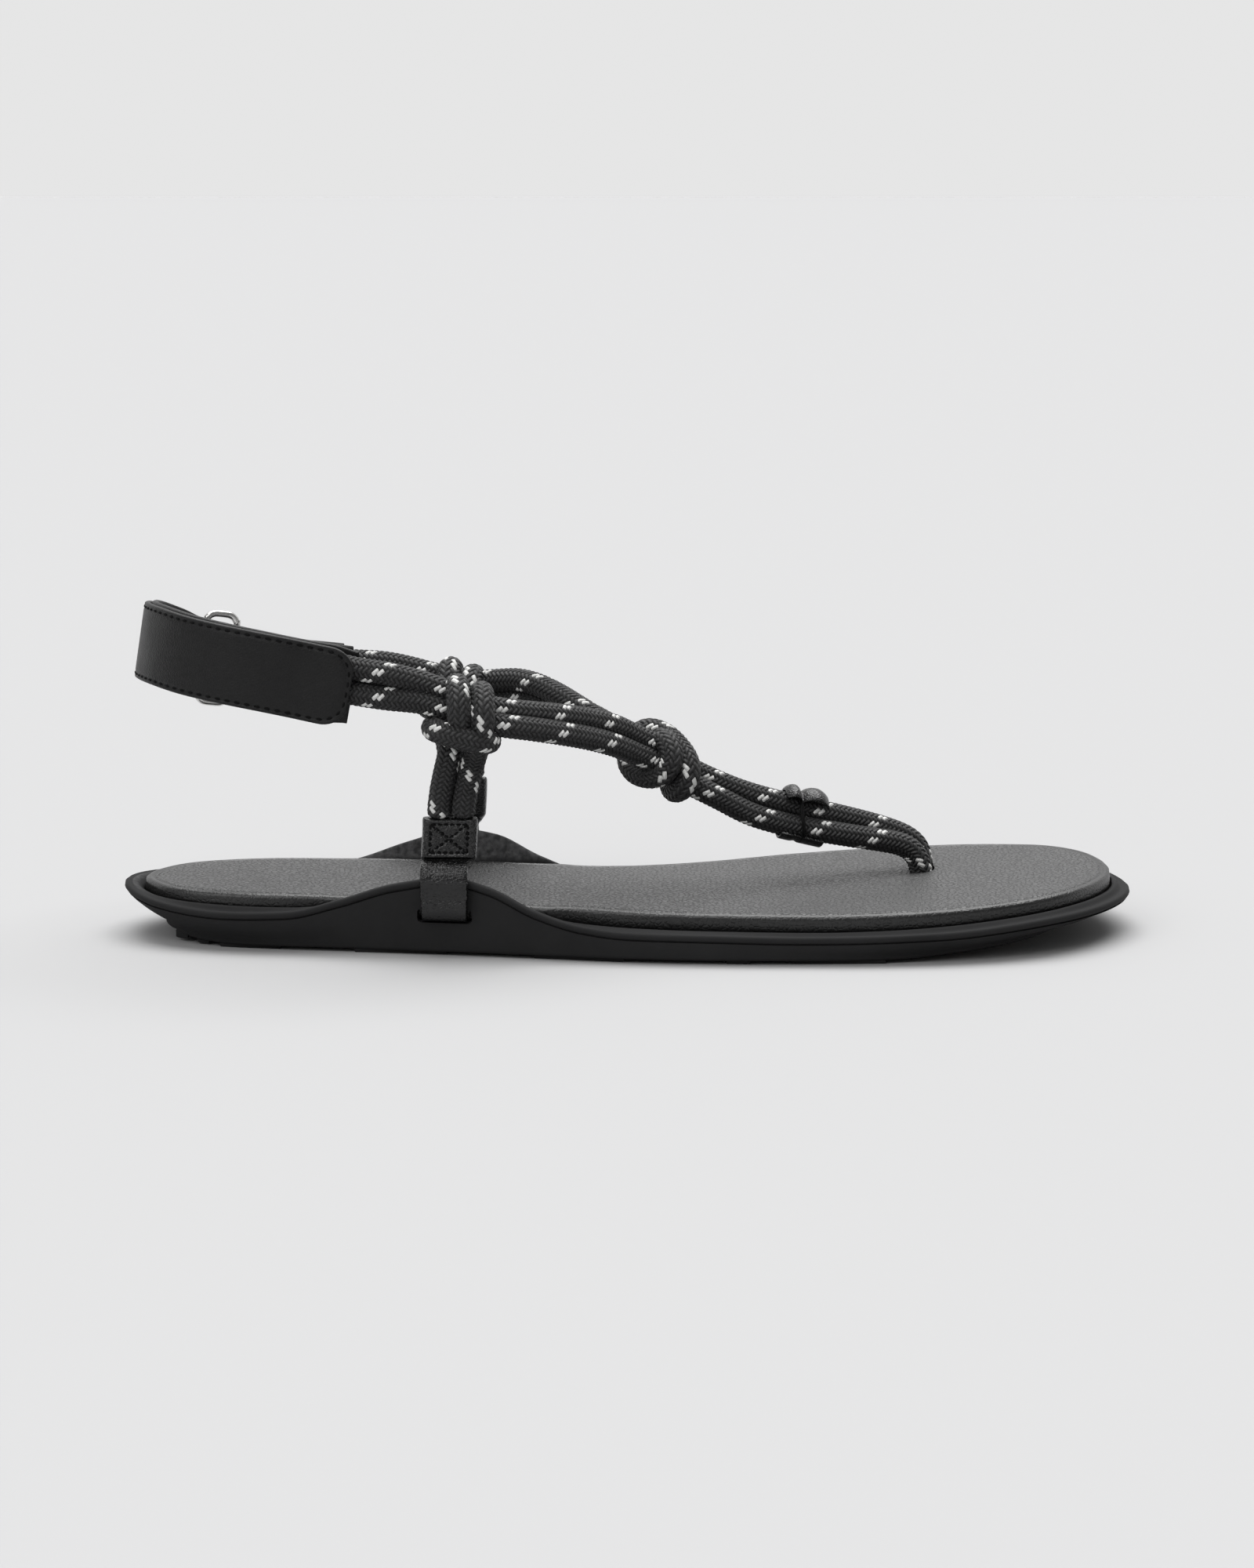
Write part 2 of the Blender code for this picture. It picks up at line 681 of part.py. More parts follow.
# Routes of the rope in millimetres, chosen by hand. The upper and lower strap strands run from the
# heel strap through the side knot to the front knot; the hitch rises from the tab, goes twice round
# them and comes down again; the band goes once round the hitch's two legs.
LATERAL_UPPER = (
    (-65.1, -31.0, 69.5), (-58.0, -30.8, 68.4), (-50.0, -30.5, 66.3), (-45.0, -30.2, 64.4),
    (-41.0, -30.2, 62.6), (-36.0, -29.6, 60.6), (-30.0, -27.8, 59.2), (-24.0, -25.0, 58.1),
    (-17.5, -20.8, 56.9), (-10.0, -15.0, 55.0), (-3.5, -9.6, 52.6), (1.5, -5.5, 49.6), (7.0, -2.0, 46.4),
)
LATERAL_LOWER = (
    (-65.8, -31.4, 63.8), (-58.0, -31.4, 62.6), (-50.0, -31.6, 61.8), (-45.0, -31.8, 60.2),
    (-41.0, -31.8, 58.4), (-36.0, -31.6, 57.0), (-30.0, -31.0, 55.9), (-24.0, -28.6, 54.8),
    (-17.5, -24.4, 53.2), (-10.0, -18.6, 51.0), (-3.5, -13.0, 48.4), (1.5, -8.4, 45.6), (7.0, -4.2, 42.6),
)
MEDIAL_UPPER = (
    (-70.2, 25.4, 64.4), (-64.0, 25.4, 64.0), (-57.0, 25.6, 62.8), (-50.0, 25.8, 60.9),
    (-44.0, 26.0, 59.6), (-39.0, 25.8, 58.9), (-33.5, 24.6, 59.4), (-28.0, 22.0, 59.9),
    (-22.5, 17.8, 59.0), (-17.0, 13.2, 56.9), (-11.0, 8.8, 53.8), (-4.0, 5.0, 50.4), (4.0, 2.0, 46.4),
)
MEDIAL_LOWER = (
    (-70.2, 25.6, 58.4), (-64.0, 25.6, 58.0), (-57.0, 26.0, 57.2), (-50.0, 26.6, 56.0),
    (-44.0, 27.0, 55.2), (-39.0, 27.0, 54.6), (-33.5, 26.4, 54.7), (-28.0, 24.4, 55.0),
    (-22.5, 20.6, 54.4), (-17.0, 16.2, 52.6), (-11.0, 11.6, 49.8), (-4.0, 7.4, 46.6), (4.0, 3.8, 43.0),
)
LATERAL_HITCH = (
    (-45.8, -33.0, 34.1), (-45.6, -32.5, 38.0), (-44.6, -31.4, 43.5), (-43.4, -30.3, 48.6),
    (-42.6, -28.2, 53.2), (-42.0, -25.6, 57.6), (-41.8, -26.2, 62.2), (-41.5, -29.4, 65.6),
    (-41.0, -33.4, 65.2), (-40.7, -36.4, 62.2), (-40.6, -36.5, 58.2), (-40.2, -34.2, 54.4),
    (-39.2, -31.0, 53.0), (-38.0, -27.6, 54.4), (-37.0, -25.6, 58.0), (-36.3, -26.4, 61.8),
    (-35.6, -29.6, 63.9), (-35.2, -33.4, 63.2), (-35.0, -36.2, 60.2), (-35.2, -36.0, 56.0),
    (-36.2, -33.4, 51.8), (-37.4, -31.4, 47.8), (-38.9, -31.6, 42.0), (-39.9, -32.6, 37.2),
    (-40.1, -33.0, 34.1),
)
LATERAL_BAND_CENTRE = (-40.4, -31.9, 53.9)
BAND_HALF_LENGTH = 6.9
BAND_HALF_DEPTH = 5.5
BAND_SLOPE = -0.24
FRONT_KNOT = (
    (7.0, 0.0, 45.5), (8.3, -2.6, 48.4), (10.2, -6.0, 47.0), (10.8, -7.6, 43.6), (8.6, -6.7, 40.2),
    (4.6, -3.6, 38.9), (1.0, 0.6, 40.0), (-0.2, 4.6, 43.3), (1.6, 6.0, 47.4), (5.0, 4.0, 49.8),
    (9.0, 1.6, 48.9), (12.3, -1.6, 46.4), (14.8, -5.0, 43.0), (15.0, -6.2, 39.2), (13.2, -4.4, 36.0),
    (11.2, 0.0, 34.9), (10.6, 4.6, 36.9), (11.6, 5.6, 40.4), (12.6, 2.4, 42.4),
)
POST_UPPER = (
    (8.0, 1.0, 44.0), (12.5, 1.6, 41.9), (18.3, 2.8, 38.4), (28.8, 5.2, 33.7), (39.6, 8.0, 30.2),
    (46.0, 9.6, 28.4), (52.0, 11.4, 26.8), (60.0, 14.1, 24.4), (66.0, 16.2, 22.3), (70.8, 17.4, 20.2),
    (74.0, 18.1, 17.4), (75.2, 18.3, 13.4), (75.3, 18.3, 8.2),
)
POST_LOWER = (
    (8.0, -2.0, 41.0), (12.5, -2.2, 38.6), (17.0, -1.4, 36.0), (22.5, 0.2, 33.0), (30.6, 2.4, 28.5),
    (39.6, 4.8, 25.4), (46.0, 6.1, 24.0), (52.0, 7.7, 22.7), (60.0, 10.2, 21.0), (66.0, 11.9, 19.8),
    (70.4, 12.8, 18.5), (73.2, 13.1, 16.2), (74.6, 13.1, 12.6), (74.8, 13.1, 8.2),
)

# The medial knot is the lateral one mirrored about this line. It lies lower and farther back.
MIRROR_LINE = -2.6
KNOT_DROP = 3.2
KNOT_BACK = 4.4
RISE_START = 34.0
RISE_LENGTH = 20.0
BAND_PARTS = 14
HITCH_GAP = 0.7
HITCH_LEG_LEAST = 2.0

# Rope hidden inside each knot. Columns: middle and half sizes in millimetres.
SIDE_CORE = ((-38.8, -30.9, 58.5), (6.4, 5.2, 7.4))
FRONT_CORE = ((8.0, -0.4, 43.0), (7.6, 6.0, 6.6))


def to_metres(route):
    return [Vector(p) * MM for p in route]


def knot_rise(height):
    """0 at the tab and 1 at the knot, growing softly between them."""
    share = min(max((height - RISE_START) / RISE_LENGTH, 0), 1)
    return share * share * (3 - 2 * share)


def mirrored(route):
    """The medial twin of a lateral knot's route: it hangs lower and farther back from the tab upwards."""
    twin = []
    for x, y, z in route:
        rise = knot_rise(z)
        twin.append((x - KNOT_BACK * rise, 2 * MIRROR_LINE - y, z - KNOT_DROP * rise))
    return twin


def hitch_route():
    """The hitch from the tab's top to the tab's top, with both ends just clear of it."""
    end = TAB_TOP_HEIGHT / MM + HITCH_GAP
    raised = [point for point in LATERAL_HITCH[1:-1] if point[2] > end + HITCH_LEG_LEAST]
    ends = [(x, y, end) for x, y, z in (LATERAL_HITCH[0], LATERAL_HITCH[-1])]
    return ends[:1] + raised + ends[1:]


def band_route():
    """The closed turn round the two legs below a side knot."""
    x, y, z = LATERAL_BAND_CENTRE
    ring = []
    for part in range(BAND_PARTS):
        angle = 2 * math.pi * part / BAND_PARTS
        along = BAND_HALF_LENGTH * math.cos(angle)
        ring.append((x + along, y + BAND_HALF_DEPTH * math.sin(angle), z + BAND_SLOPE * along))
    return ring


def rope_tube(name, route, step, material, closed=False, turn=0.0):
    """A round tube along a smooth curve through a route, with flat ends."""
    line = spline(to_metres(route), step, closed)
    count = len(line)
    normal = Vector((0, 0, 1))
    points = []
    frames = []
    for i, point in enumerate(line):
        if closed:
            run = (line[(i + 1) % count] - line[i - 1]).normalized()
        else:
            run = (line[min(i + 1, count - 1)] - line[max(i - 1, 0)]).normalized()
        if abs(run.dot(normal)) > 0.97:
            normal = Vector((1, 0, 0))
        normal = (normal - run * run.dot(normal)).normalized()
        frames.append((point, normal.copy(), run.cross(normal)))
    for point, first, second in frames:
        for side in range(ROPE_SIDES):
            angle = 2 * math.pi * (side + turn) / ROPE_SIDES
            points.append(point + (first * math.cos(angle) + second * math.sin(angle)) * ROPE_RADIUS)
    return loft_bars(name, points, ROPE_SIDES, material, closed)


def knot_core(name, centre, radii, material):
    """The rope hidden inside a knot, as one rounded mass."""
    bpy.ops.mesh.primitive_uv_sphere_add(segments=10, ring_count=6, radius=1.0, location=(0, 0, 0))
    core = bpy.context.object
    core.name = name
    core.data.name = name
    core.data.materials.append(material)
    for vertex in core.data.vertices:
        vertex.co = [centre[axis] * MM + vertex.co[axis] * radii[axis] * MM for axis in range(3)]
    return core


def build_rope(material):
    """The whole rope upper as one solid: strands, side knots, front knot and toe post, joined."""
    rope = rope_tube("rope_upper", LATERAL_UPPER, STRAND_STEP, material)
    strands = [
        ("lateral_lower", LATERAL_LOWER, STRAND_STEP, False),
        ("lateral_hitch", hitch_route(), KNOT_STEP, False),
        ("lateral_band", band_route(), KNOT_STEP, True),
        ("medial_upper", MEDIAL_UPPER, STRAND_STEP, False),
        ("medial_lower", MEDIAL_LOWER, STRAND_STEP, False),
        ("medial_hitch", mirrored(hitch_route()), KNOT_STEP, False),
        ("medial_band", mirrored(band_route()), KNOT_STEP, True),
        ("front_knot", FRONT_KNOT, KNOT_STEP, False),
        ("post_upper", POST_UPPER, STRAND_STEP, False),
        ("post_lower", POST_LOWER, STRAND_STEP, False),
    ]
    for number, (name, route, step, closed) in enumerate(strands):
        strand = rope_tube(name, route, step, material, closed, STRAND_TURN * number)
        boolean(rope, "UNION", strand, crosses_itself=True)
    side_middle, side_radii = SIDE_CORE
    boolean(rope, "UNION", knot_core("lateral_core", side_middle, side_radii, material))
    boolean(rope, "UNION", knot_core("medial_core", mirrored([side_middle])[0], side_radii, material))
    boolean(rope, "UNION", knot_core("front_core", *FRONT_CORE, material))
    return rope


def post_hole(material):
    """The slot in the footbed where both strands of the toe post go down."""
    centre = (Vector(POST_UPPER[-1]) + Vector(POST_LOWER[-1])) / 2 * MM
    reach = (Vector(POST_UPPER[-1]) - Vector(POST_LOWER[-1])).length / 2 * MM
    radius = ROPE_RADIUS + POST_HOLE_SLACK
    corners = []
    for end in (1, -1):
        for part in range(7):
            angle = math.pi * part / 6
            across = end * (reach + radius * math.sin(angle))
            corners.append((centre.x + end * radius * math.cos(angle), centre.y + across))
    return prism("post_hole", corners, HOLE_LOW, HOLE_HIGH, material)


def keeper_sections(wall):
    """Rings round both strands of the toe post, a wall's width outside them."""
    upper = spline(to_metres(POST_UPPER), 0.5 * MM)
    lower = spline(to_metres(POST_LOWER), 0.5 * MM)
    rings = []
    for step in range(KEEPER_STEPS + 1):
        share = step / KEEPER_STEPS
        x = KEEPER_START_X + KEEPER_LENGTH * share
        first = min(upper, key=lambda p: abs(p.x - x))
        second = min(lower, key=lambda p: abs(p.x - x))
        index = upper.index(first)
        run = (upper[index + 1] - upper[index - 1]).normalized()
        up = first - second
        reach = up.length / 2
        up = (up - run * run.dot(up)).normalized()
        thick = wall(share)
        rings.append(stadium((first + second) / 2, reach, ROPE_RADIUS + CLEARANCE + thick, up, run))
    return rings


def build_keeper(material):
    """The leather wrap round the toe strands: a sleeve with two soft lobes and a pinch between them."""

    def outer_wall(share):
        lobes = abs(math.sin(2 * math.pi * share)) ** KEEPER_LOBE_FORM
        return KEEPER_WALL + KEEPER_BULGE * lobes

    outer = keeper_sections(outer_wall)
    inner = keeper_sections(lambda share: KEEPER_SLACK)
    sides = len(outer[0])
    points = [p for ring in outer + inner[::-1] for p in ring]
    return loft_bars("rope_keeper", points, sides, material, closed=True)


# Plan of the heel strap's middle line from its lateral end round the heel to the ring.
# Columns: x and y in millimetres, height of the middle as a share of the height at the back.
STRAP_LINE = (
    (-66.3, -31.3, 0.881),
    (-76.0, -32.2, 0.906),
    (-88.0, -31.6, 0.938),
    (-98.0, -29.0, 0.961),
    (-107.4, -23.6, 0.981),
    (-114.7, -15.6, 0.997),
    (-118.9, -7.0, 1.000),
    (-120.0, 0.5, 0.996),
    (-119.0, 6.6, 0.980),
    (-116.6, 12.6, 0.954),
    (-113.6, 17.8, 0.926),
    (-111.4, 20.6, 0.909),
)
RING_BACK = (-109.2, 22.4, 0.894)
RING_FORWARD = (0.885, 0.430, -0.145)
RING_TAB_LINE_END = (-72.6, 25.5, 61.5)


def strap_point(row):
    x, y, height = row
    return Vector((x * MM, y * MM, height * STRAP_BACK_HEIGHT))


def ring_axes():
    """Where the ring's back bar lies, the way forward across the ring, and up along its long side."""
    back = strap_point(RING_BACK)
    forward = Vector(RING_FORWARD).normalized()
    outward = Vector((-forward.y, forward.x, 0)).normalized()
    up = forward.cross(outward).normalized()
    return back, forward, outward, up


def band_points(stations):
    """Corners of a leather band. Each station is its middle, outward way, up way, half width, thickness."""
    points = []
    for middle, outward, up, half, thickness in stations:
        for high, out in ((-1, -1), (1, -1), (1, 1), (-1, 1)):
            points.append(middle + up * half * high + outward * out * thickness / 2)
    return points


def strap_frames():
    """Middle points of the doubled strap with their outward and upward ways, from its lateral end."""
    line = spline([strap_point(row) for row in STRAP_LINE], STRAP_SPACING)
    frames = []
    for i, point in enumerate(line):
        run = (line[min(i + 1, len(line) - 1)] - line[max(i - 1, 0)]).normalized()
        outward = Vector((run.y, -run.x, 0)).normalized()
        outward = outward if outward.dot(point - Vector(HEEL_MIDDLE)) > 0 else -outward
        up = run.cross(outward).normalized()
        up = up if up.z > 0 else -up
        lean = math.radians(STRAP_LEAN) * min(max((LEAN_START_X - point.x) / LEAN_REACH, 0), 1)
        frames.append((point, outward, (up * math.cos(lean) - outward * math.sin(lean)).normalized()))
    return frames


def fold_stations(bar, start_way, through_way, up, half):
    """A half turn of leather round a bar, from one side of it to the other."""
    turn = RING_WIRE / 2 + CLEARANCE + STRAP_THICKNESS / 2
    stations = []
    for part in range(FOLD_PARTS + 1):
        angle = math.pi * part / FOLD_PARTS
        out = (start_way * math.cos(angle) + through_way * math.sin(angle)).normalized()
        stations.append((bar + out * turn, out, up, half, STRAP_THICKNESS))
    return stations


def build_strap(material):
    """The heel strap: sewn to the lateral ropes, round the heel, through the ring and back on itself."""
    frames = strap_frames()
    half = STRAP_WIDTH / 2
    spacing = (STRAP_THICKNESS + STRAP_LAYER_GAP) / 2
    turn = RING_WIRE / 2 + CLEARANCE + STRAP_THICKNESS / 2
    back, forward, side, up_at_ring = ring_axes()
    total = sum((b[0] - a[0]).length for a, b in zip(frames, frames[1:])) + (back - frames[-1][0]).length
    travelled = 0.0
    inner, outer = [], []
    for number, (point, outward, up) in enumerate(frames):
        if number:
            travelled += (point - frames[number - 1][0]).length
        close = min(max(1 - (total - travelled) / STRAP_OPENING, 0), 1)
        offset = spacing + (turn - spacing) * close
        taper = min(travelled / STRAP_BASE_TAPER, 1)
        base_half = (STRAP_BASE_WIDTH + (STRAP_WIDTH * STRAP_INNER_SWELL - STRAP_BASE_WIDTH) * taper) / 2
        inner_half = base_half if travelled < 3 * STRAP_BASE_TAPER else half
        inner.append((point - outward * offset, -outward, up, inner_half, STRAP_THICKNESS))
        outer.append((point + outward * offset, outward, up, half, STRAP_THICKNESS))
    fold_half = RING_HEIGHT / 2 - RING_WIRE - RING_CORNER * RING_CORNER_SHARE - RING_SIDE_PLAY
    fold = fold_stations(back, -side, forward, up_at_ring, min(half, fold_half))
    stations = inner + fold + rounded_end(frames, outer, half, spacing)
    return loft_bars("heel_strap", band_points(stations), 4, material)


def rounded_end(frames, outer, half, spacing):
    """The outer layer from the ring forwards, with its free end cut round."""
    radius = STRAP_END_RADIUS
    start = frames[0][0]
    least = radius + STRAP_END_SETBACK + STRAP_LAYER_GAP
    kept = [row for row in outer[::-1] if (row[0] - start).length > least]
    point, outward, up = frames[0]
    run = (frames[1][0] - frames[0][0]).normalized()
    for part in range(STRAP_END_PARTS):
        angle = math.pi / 2 * part / (STRAP_END_PARTS - 0.6)
        back = STRAP_END_SETBACK + radius * (1 - math.sin(angle))
        width = half - radius * (1 - math.cos(angle))
        kept.append((point + run * back + outward * spacing, outward, up, width, STRAP_THICKNESS))
    return kept


def build_ring(material):
    """The oval ring of round wire that the heel strap folds back through."""
    back, forward, side, up = ring_axes()
    reach = (RING_WIDTH - RING_WIRE) / 2
    rise = (RING_HEIGHT - RING_WIRE) / 2
    centre = back + forward * reach
    line = []
    for corner, (ahead, above) in enumerate(((1, 1), (-1, 1), (-1, -1), (1, -1))):
        middle = centre + forward * ahead * (reach - RING_CORNER) + up * above * (rise - RING_CORNER)
        for part in range(CORNER_PARTS + 1):
            angle = math.pi / 2 * (corner + part / CORNER_PARTS)
            line.append(middle + (forward * math.cos(angle) + up * math.sin(angle)) * RING_CORNER)
    count = len(line)
    points = []
    for i, point in enumerate(line):
        run = (line[(i + 1) % count] - line[i - 1]).normalized()
        across = run.cross(side).normalized()
        for corner in range(WIRE_SIDES):
            angle = 2 * math.pi * corner / WIRE_SIDES
            points.append(point + (side * math.cos(angle) + across * math.sin(angle)) * RING_WIRE / 2)
    return loft_bars("strap_ring", points, WIRE_SIDES, material, closed=True)


def build_ring_tab(material):
    """The short leather loop that holds the ring's front bar and takes the medial ropes."""
    back, forward, side, up = ring_axes()
    front = back + forward * (RING_WIDTH - RING_WIRE)
    end = Vector(RING_TAB_LINE_END) * MM
    turn = RING_WIRE / 2 + CLEARANCE + STRAP_THICKNESS / 2
    spacing = (STRAP_THICKNESS + STRAP_LAYER_GAP) / 2
    half = RING_TAB_WIDTH / 2
    run = (end - front).normalized()
    inner, outer = [], []
    rise = run.cross(side).normalized()
    rise = rise if rise.z > 0 else -rise
    for step in range(1, RING_TAB_STEPS + 1):
        share = step / RING_TAB_STEPS
        point = front.lerp(end, share)
        offset = turn + (spacing - turn) * min(share / RING_TAB_OPENING, 1)
        bow = side * math.sin(math.pi * share) * RING_TAB_BOW
        way = (up * (1 - share) + rise * share).normalized()
        inner.append((point + bow - side * offset, -side, way, half, STRAP_THICKNESS))
        outer.append((point + bow + side * offset, side, way, half, STRAP_THICKNESS))
    fold = fold_stations(front, -side, -forward, up, half)
    return loft_bars("ring_tab", band_points(inner[::-1] + fold + outer), 4, material)


def main():
    for old in list(bpy.data.objects):
        bpy.data.objects.remove(old)
    foam = principled("sole_foam", (0.012, 0.012, 0.013), 0.55)
    padded = principled("footbed_cover", (0.018, 0.018, 0.019), 0.5)
    leather = principled("strap_leather", (0.010, 0.010, 0.011), 0.42)
    gloss = principled("tab_leather", (0.008, 0.008, 0.009), 0.3)
    braid = principled("rope_braid", (0.014, 0.014, 0.015), 0.75)
    metal = principled("ring_metal", (0.75, 0.74, 0.72), 0.18, 1.0)
    build_outsole(foam)
    build_footbed(padded)
    for medial in (False, True):
        build_tab(medial, gloss)
    build_rope(braid)
    build_keeper(gloss)
    build_strap(leather)
    build_ring(metal)
    build_ring_tab(leather)


main()
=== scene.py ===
"""Right rope sandal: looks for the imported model, piece by piece as the sandal is put together."""

import math

import bpy
import numpy as np
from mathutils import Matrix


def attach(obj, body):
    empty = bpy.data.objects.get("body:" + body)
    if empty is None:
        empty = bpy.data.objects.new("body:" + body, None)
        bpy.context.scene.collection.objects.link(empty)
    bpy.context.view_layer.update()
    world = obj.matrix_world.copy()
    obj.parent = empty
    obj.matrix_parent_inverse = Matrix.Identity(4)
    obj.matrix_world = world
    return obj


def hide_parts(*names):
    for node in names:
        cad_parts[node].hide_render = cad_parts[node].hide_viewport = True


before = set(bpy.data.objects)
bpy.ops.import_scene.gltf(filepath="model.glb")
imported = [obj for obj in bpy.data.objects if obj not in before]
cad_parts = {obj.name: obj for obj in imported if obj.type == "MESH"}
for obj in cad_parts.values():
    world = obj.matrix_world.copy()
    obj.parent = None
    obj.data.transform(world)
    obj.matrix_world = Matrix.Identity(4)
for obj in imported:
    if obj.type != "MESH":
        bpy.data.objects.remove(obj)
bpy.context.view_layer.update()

# Camera and light. The picture was taken with a long lens from the lateral side, a little above the
# rope, in soft light from above and behind on a pale seamless floor.
MM = 0.001
CAMERA_PLACE = (-0.0004, -0.90175, 0.185)
CAMERA_PITCH = 9.35
FOCAL_PIXELS = 4651.7
PICTURE_WIDTH = 1600
SENSOR_WIDTH = 36.0
DOME_GREY = 0.24
FLOOR_GREY = (0.461, 0.461, 0.464)

bpy.ops.object.select_all(action="DESELECT")
bpy.ops.object.camera_add(location=CAMERA_PLACE, rotation=(math.radians(90 - CAMERA_PITCH), 0, 0))
camera = bpy.context.object
camera.name = "photo_camera"
camera.data.sensor_width = SENSOR_WIDTH
camera.data.sensor_fit = "HORIZONTAL"
camera.data.lens = FOCAL_PIXELS * SENSOR_WIDTH / PICTURE_WIDTH
camera.data.clip_start = 0.01
bpy.context.scene.camera = camera
bpy.context.scene.view_settings.view_transform = "Standard"


class Socket:
    """A shader value that takes part in ordinary arithmetic."""

    def __init__(self, paint, link):
        self.paint = paint
        self.link = link

    def math(self, operation, other=None, swap=False):
        values = [self] if other is None else ([other, self] if swap else [self, other])
        return self.paint.node("ShaderNodeMath", {"operation": operation}, dict(enumerate(values)))

    def __rsub__(self, other):
        return self.math("SUBTRACT", other, swap=True)

    def step(self, start, end):
        """0 before start, 1 after end, and a soft rise between them."""
        settings = {"interpolation_type": "SMOOTHSTEP"}
        values = {"Value": self, "From Min": start, "From Max": end}
        return self.paint.node("ShaderNodeMapRange", settings, values)


# The rest of a socket's arithmetic: each of these methods adds one maths node.
SOCKET_METHODS = {
    "__add__": "ADD", "__radd__": "ADD", "__sub__": "SUBTRACT", "__mul__": "MULTIPLY",
    "__truediv__": "DIVIDE", "__pow__": "POWER", "__mod__": "FLOORED_MODULO", "__lt__": "LESS_THAN",
    "__abs__": "ABSOLUTE", "floor": "FLOOR", "low": "MINIMUM", "high": "MAXIMUM",
}


def socket_method(operation):
    return lambda self, other=None: self.math(operation, other)


for method, operation in SOCKET_METHODS.items():
    setattr(Socket, method, socket_method(operation))


class Paint:
    """A material under construction: its nodes all come from one method."""

    def __init__(self, name, specular=0.5, **constants):
        self.material = bpy.data.materials.new(name)
        self.material.use_nodes = True
        self.shader = self.material.node_tree.nodes["Principled BSDF"]
        self.shader.inputs["Specular IOR Level"].default_value = specular
        for socket, value in constants.items():
            self.input(socket).default_value = value

    def input(self, name):
        return self.shader.inputs[name.replace("_", " ").title()]

    def node(self, kind, settings=None, values=None, output=0):
        made = self.material.node_tree.nodes.new(kind)
        for setting, value in (settings or {}).items():
            if setting == "stops":
                while len(made.color_ramp.elements) < len(value):
                    made.color_ramp.elements.new(0.5)
                for element, (place, colour) in zip(made.color_ramp.elements, value):
                    element.position = place
                    element.color = (*colour, 1) if isinstance(colour, tuple) else (colour, colour, colour, 1)
            else:
                setattr(made, setting, value)
        for socket, value in (values or {}).items():
            if isinstance(value, Socket):
                self.material.node_tree.links.new(value.link, made.inputs[socket])
            else:
                made.inputs[socket].default_value = value
        return Socket(self, made.outputs[output])

    def object_place(self):
        return self.node("ShaderNodeTexCoord", output="Object")

    def uv(self):
        """The two parts of the piece's own UV map."""
        return self.parts(self.node("ShaderNodeUVMap", {"uv_map": "UVMap"}))[:2]

    def parts(self, place):
        split = self.node("ShaderNodeSeparateXYZ", values={0: place}).link.node
        return [Socket(self, split.outputs[axis]) for axis in "XYZ"]

    def join(self, x, y, z):
        return self.node("ShaderNodeCombineXYZ", values={"X": x, "Y": y, "Z": z})

    def noise(self, place, scale, detail=2.0, roughness=0.5):
        values = {"Vector": place, "Scale": scale, "Detail": detail, "Roughness": roughness}
        return self.node("ShaderNodeTexNoise", values=values)

    def ramp(self, value, *stops):
        return self.node("ShaderNodeValToRGB", {"stops": stops}, {"Fac": value})

    def grain_cells(self, place, scale):
        """Distance from the creases between the small cells of a leather's grain."""
        values = {"Vector": place, "Scale": scale, "Randomness": 1.0}
        return self.node("ShaderNodeTexVoronoi", {"feature": "DISTANCE_TO_EDGE"}, values)

    def mix(self, share, first, second):
        settings = {"data_type": "RGBA"}
        return self.node("ShaderNodeMix", settings, {"Factor": share, 6: first, 7: second}, output=2)

    def set(self, **inputs):
        for socket, value in inputs.items():
            self.material.node_tree.links.new(value.link, self.input(socket))

    def bump(self, *layers):
        """Bump nodes one after another. Each layer is a height and the depth in metres that it stands for."""
        normal = None
        for height, depth in layers:
            values = {"Height": height, "Distance": depth, "Strength": 1.0}
            if normal:
                values["Normal"] = normal
            normal = self.node("ShaderNodeBump", values=values)
        self.material.node_tree.links.new(normal.link, self.shader.inputs["Normal"])


def finish_piece(piece, paint, slot, *nodes):
    """Give a finished piece its material and its body, and hide the solids that it stands for. The slot is
    not used.
    """
    piece.data.materials.clear()
    piece.data.materials.append(paint.material)
    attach(piece, "root")
    if nodes:
        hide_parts(*nodes)


FLOOR_SIZE = 60
floor_paint = Paint("pale_floor", specular=0.0, roughness=0.9, base_color=(*FLOOR_GREY, 1))
bpy.ops.mesh.primitive_plane_add(size=FLOOR_SIZE, location=(0, FLOOR_SIZE / 3, 0))
floor = bpy.context.object
floor.name = "pale_floor"
floor.data.materials.append(floor_paint.material)

world = bpy.data.worlds.new("studio")
bpy.context.scene.world = world
world.use_nodes = True
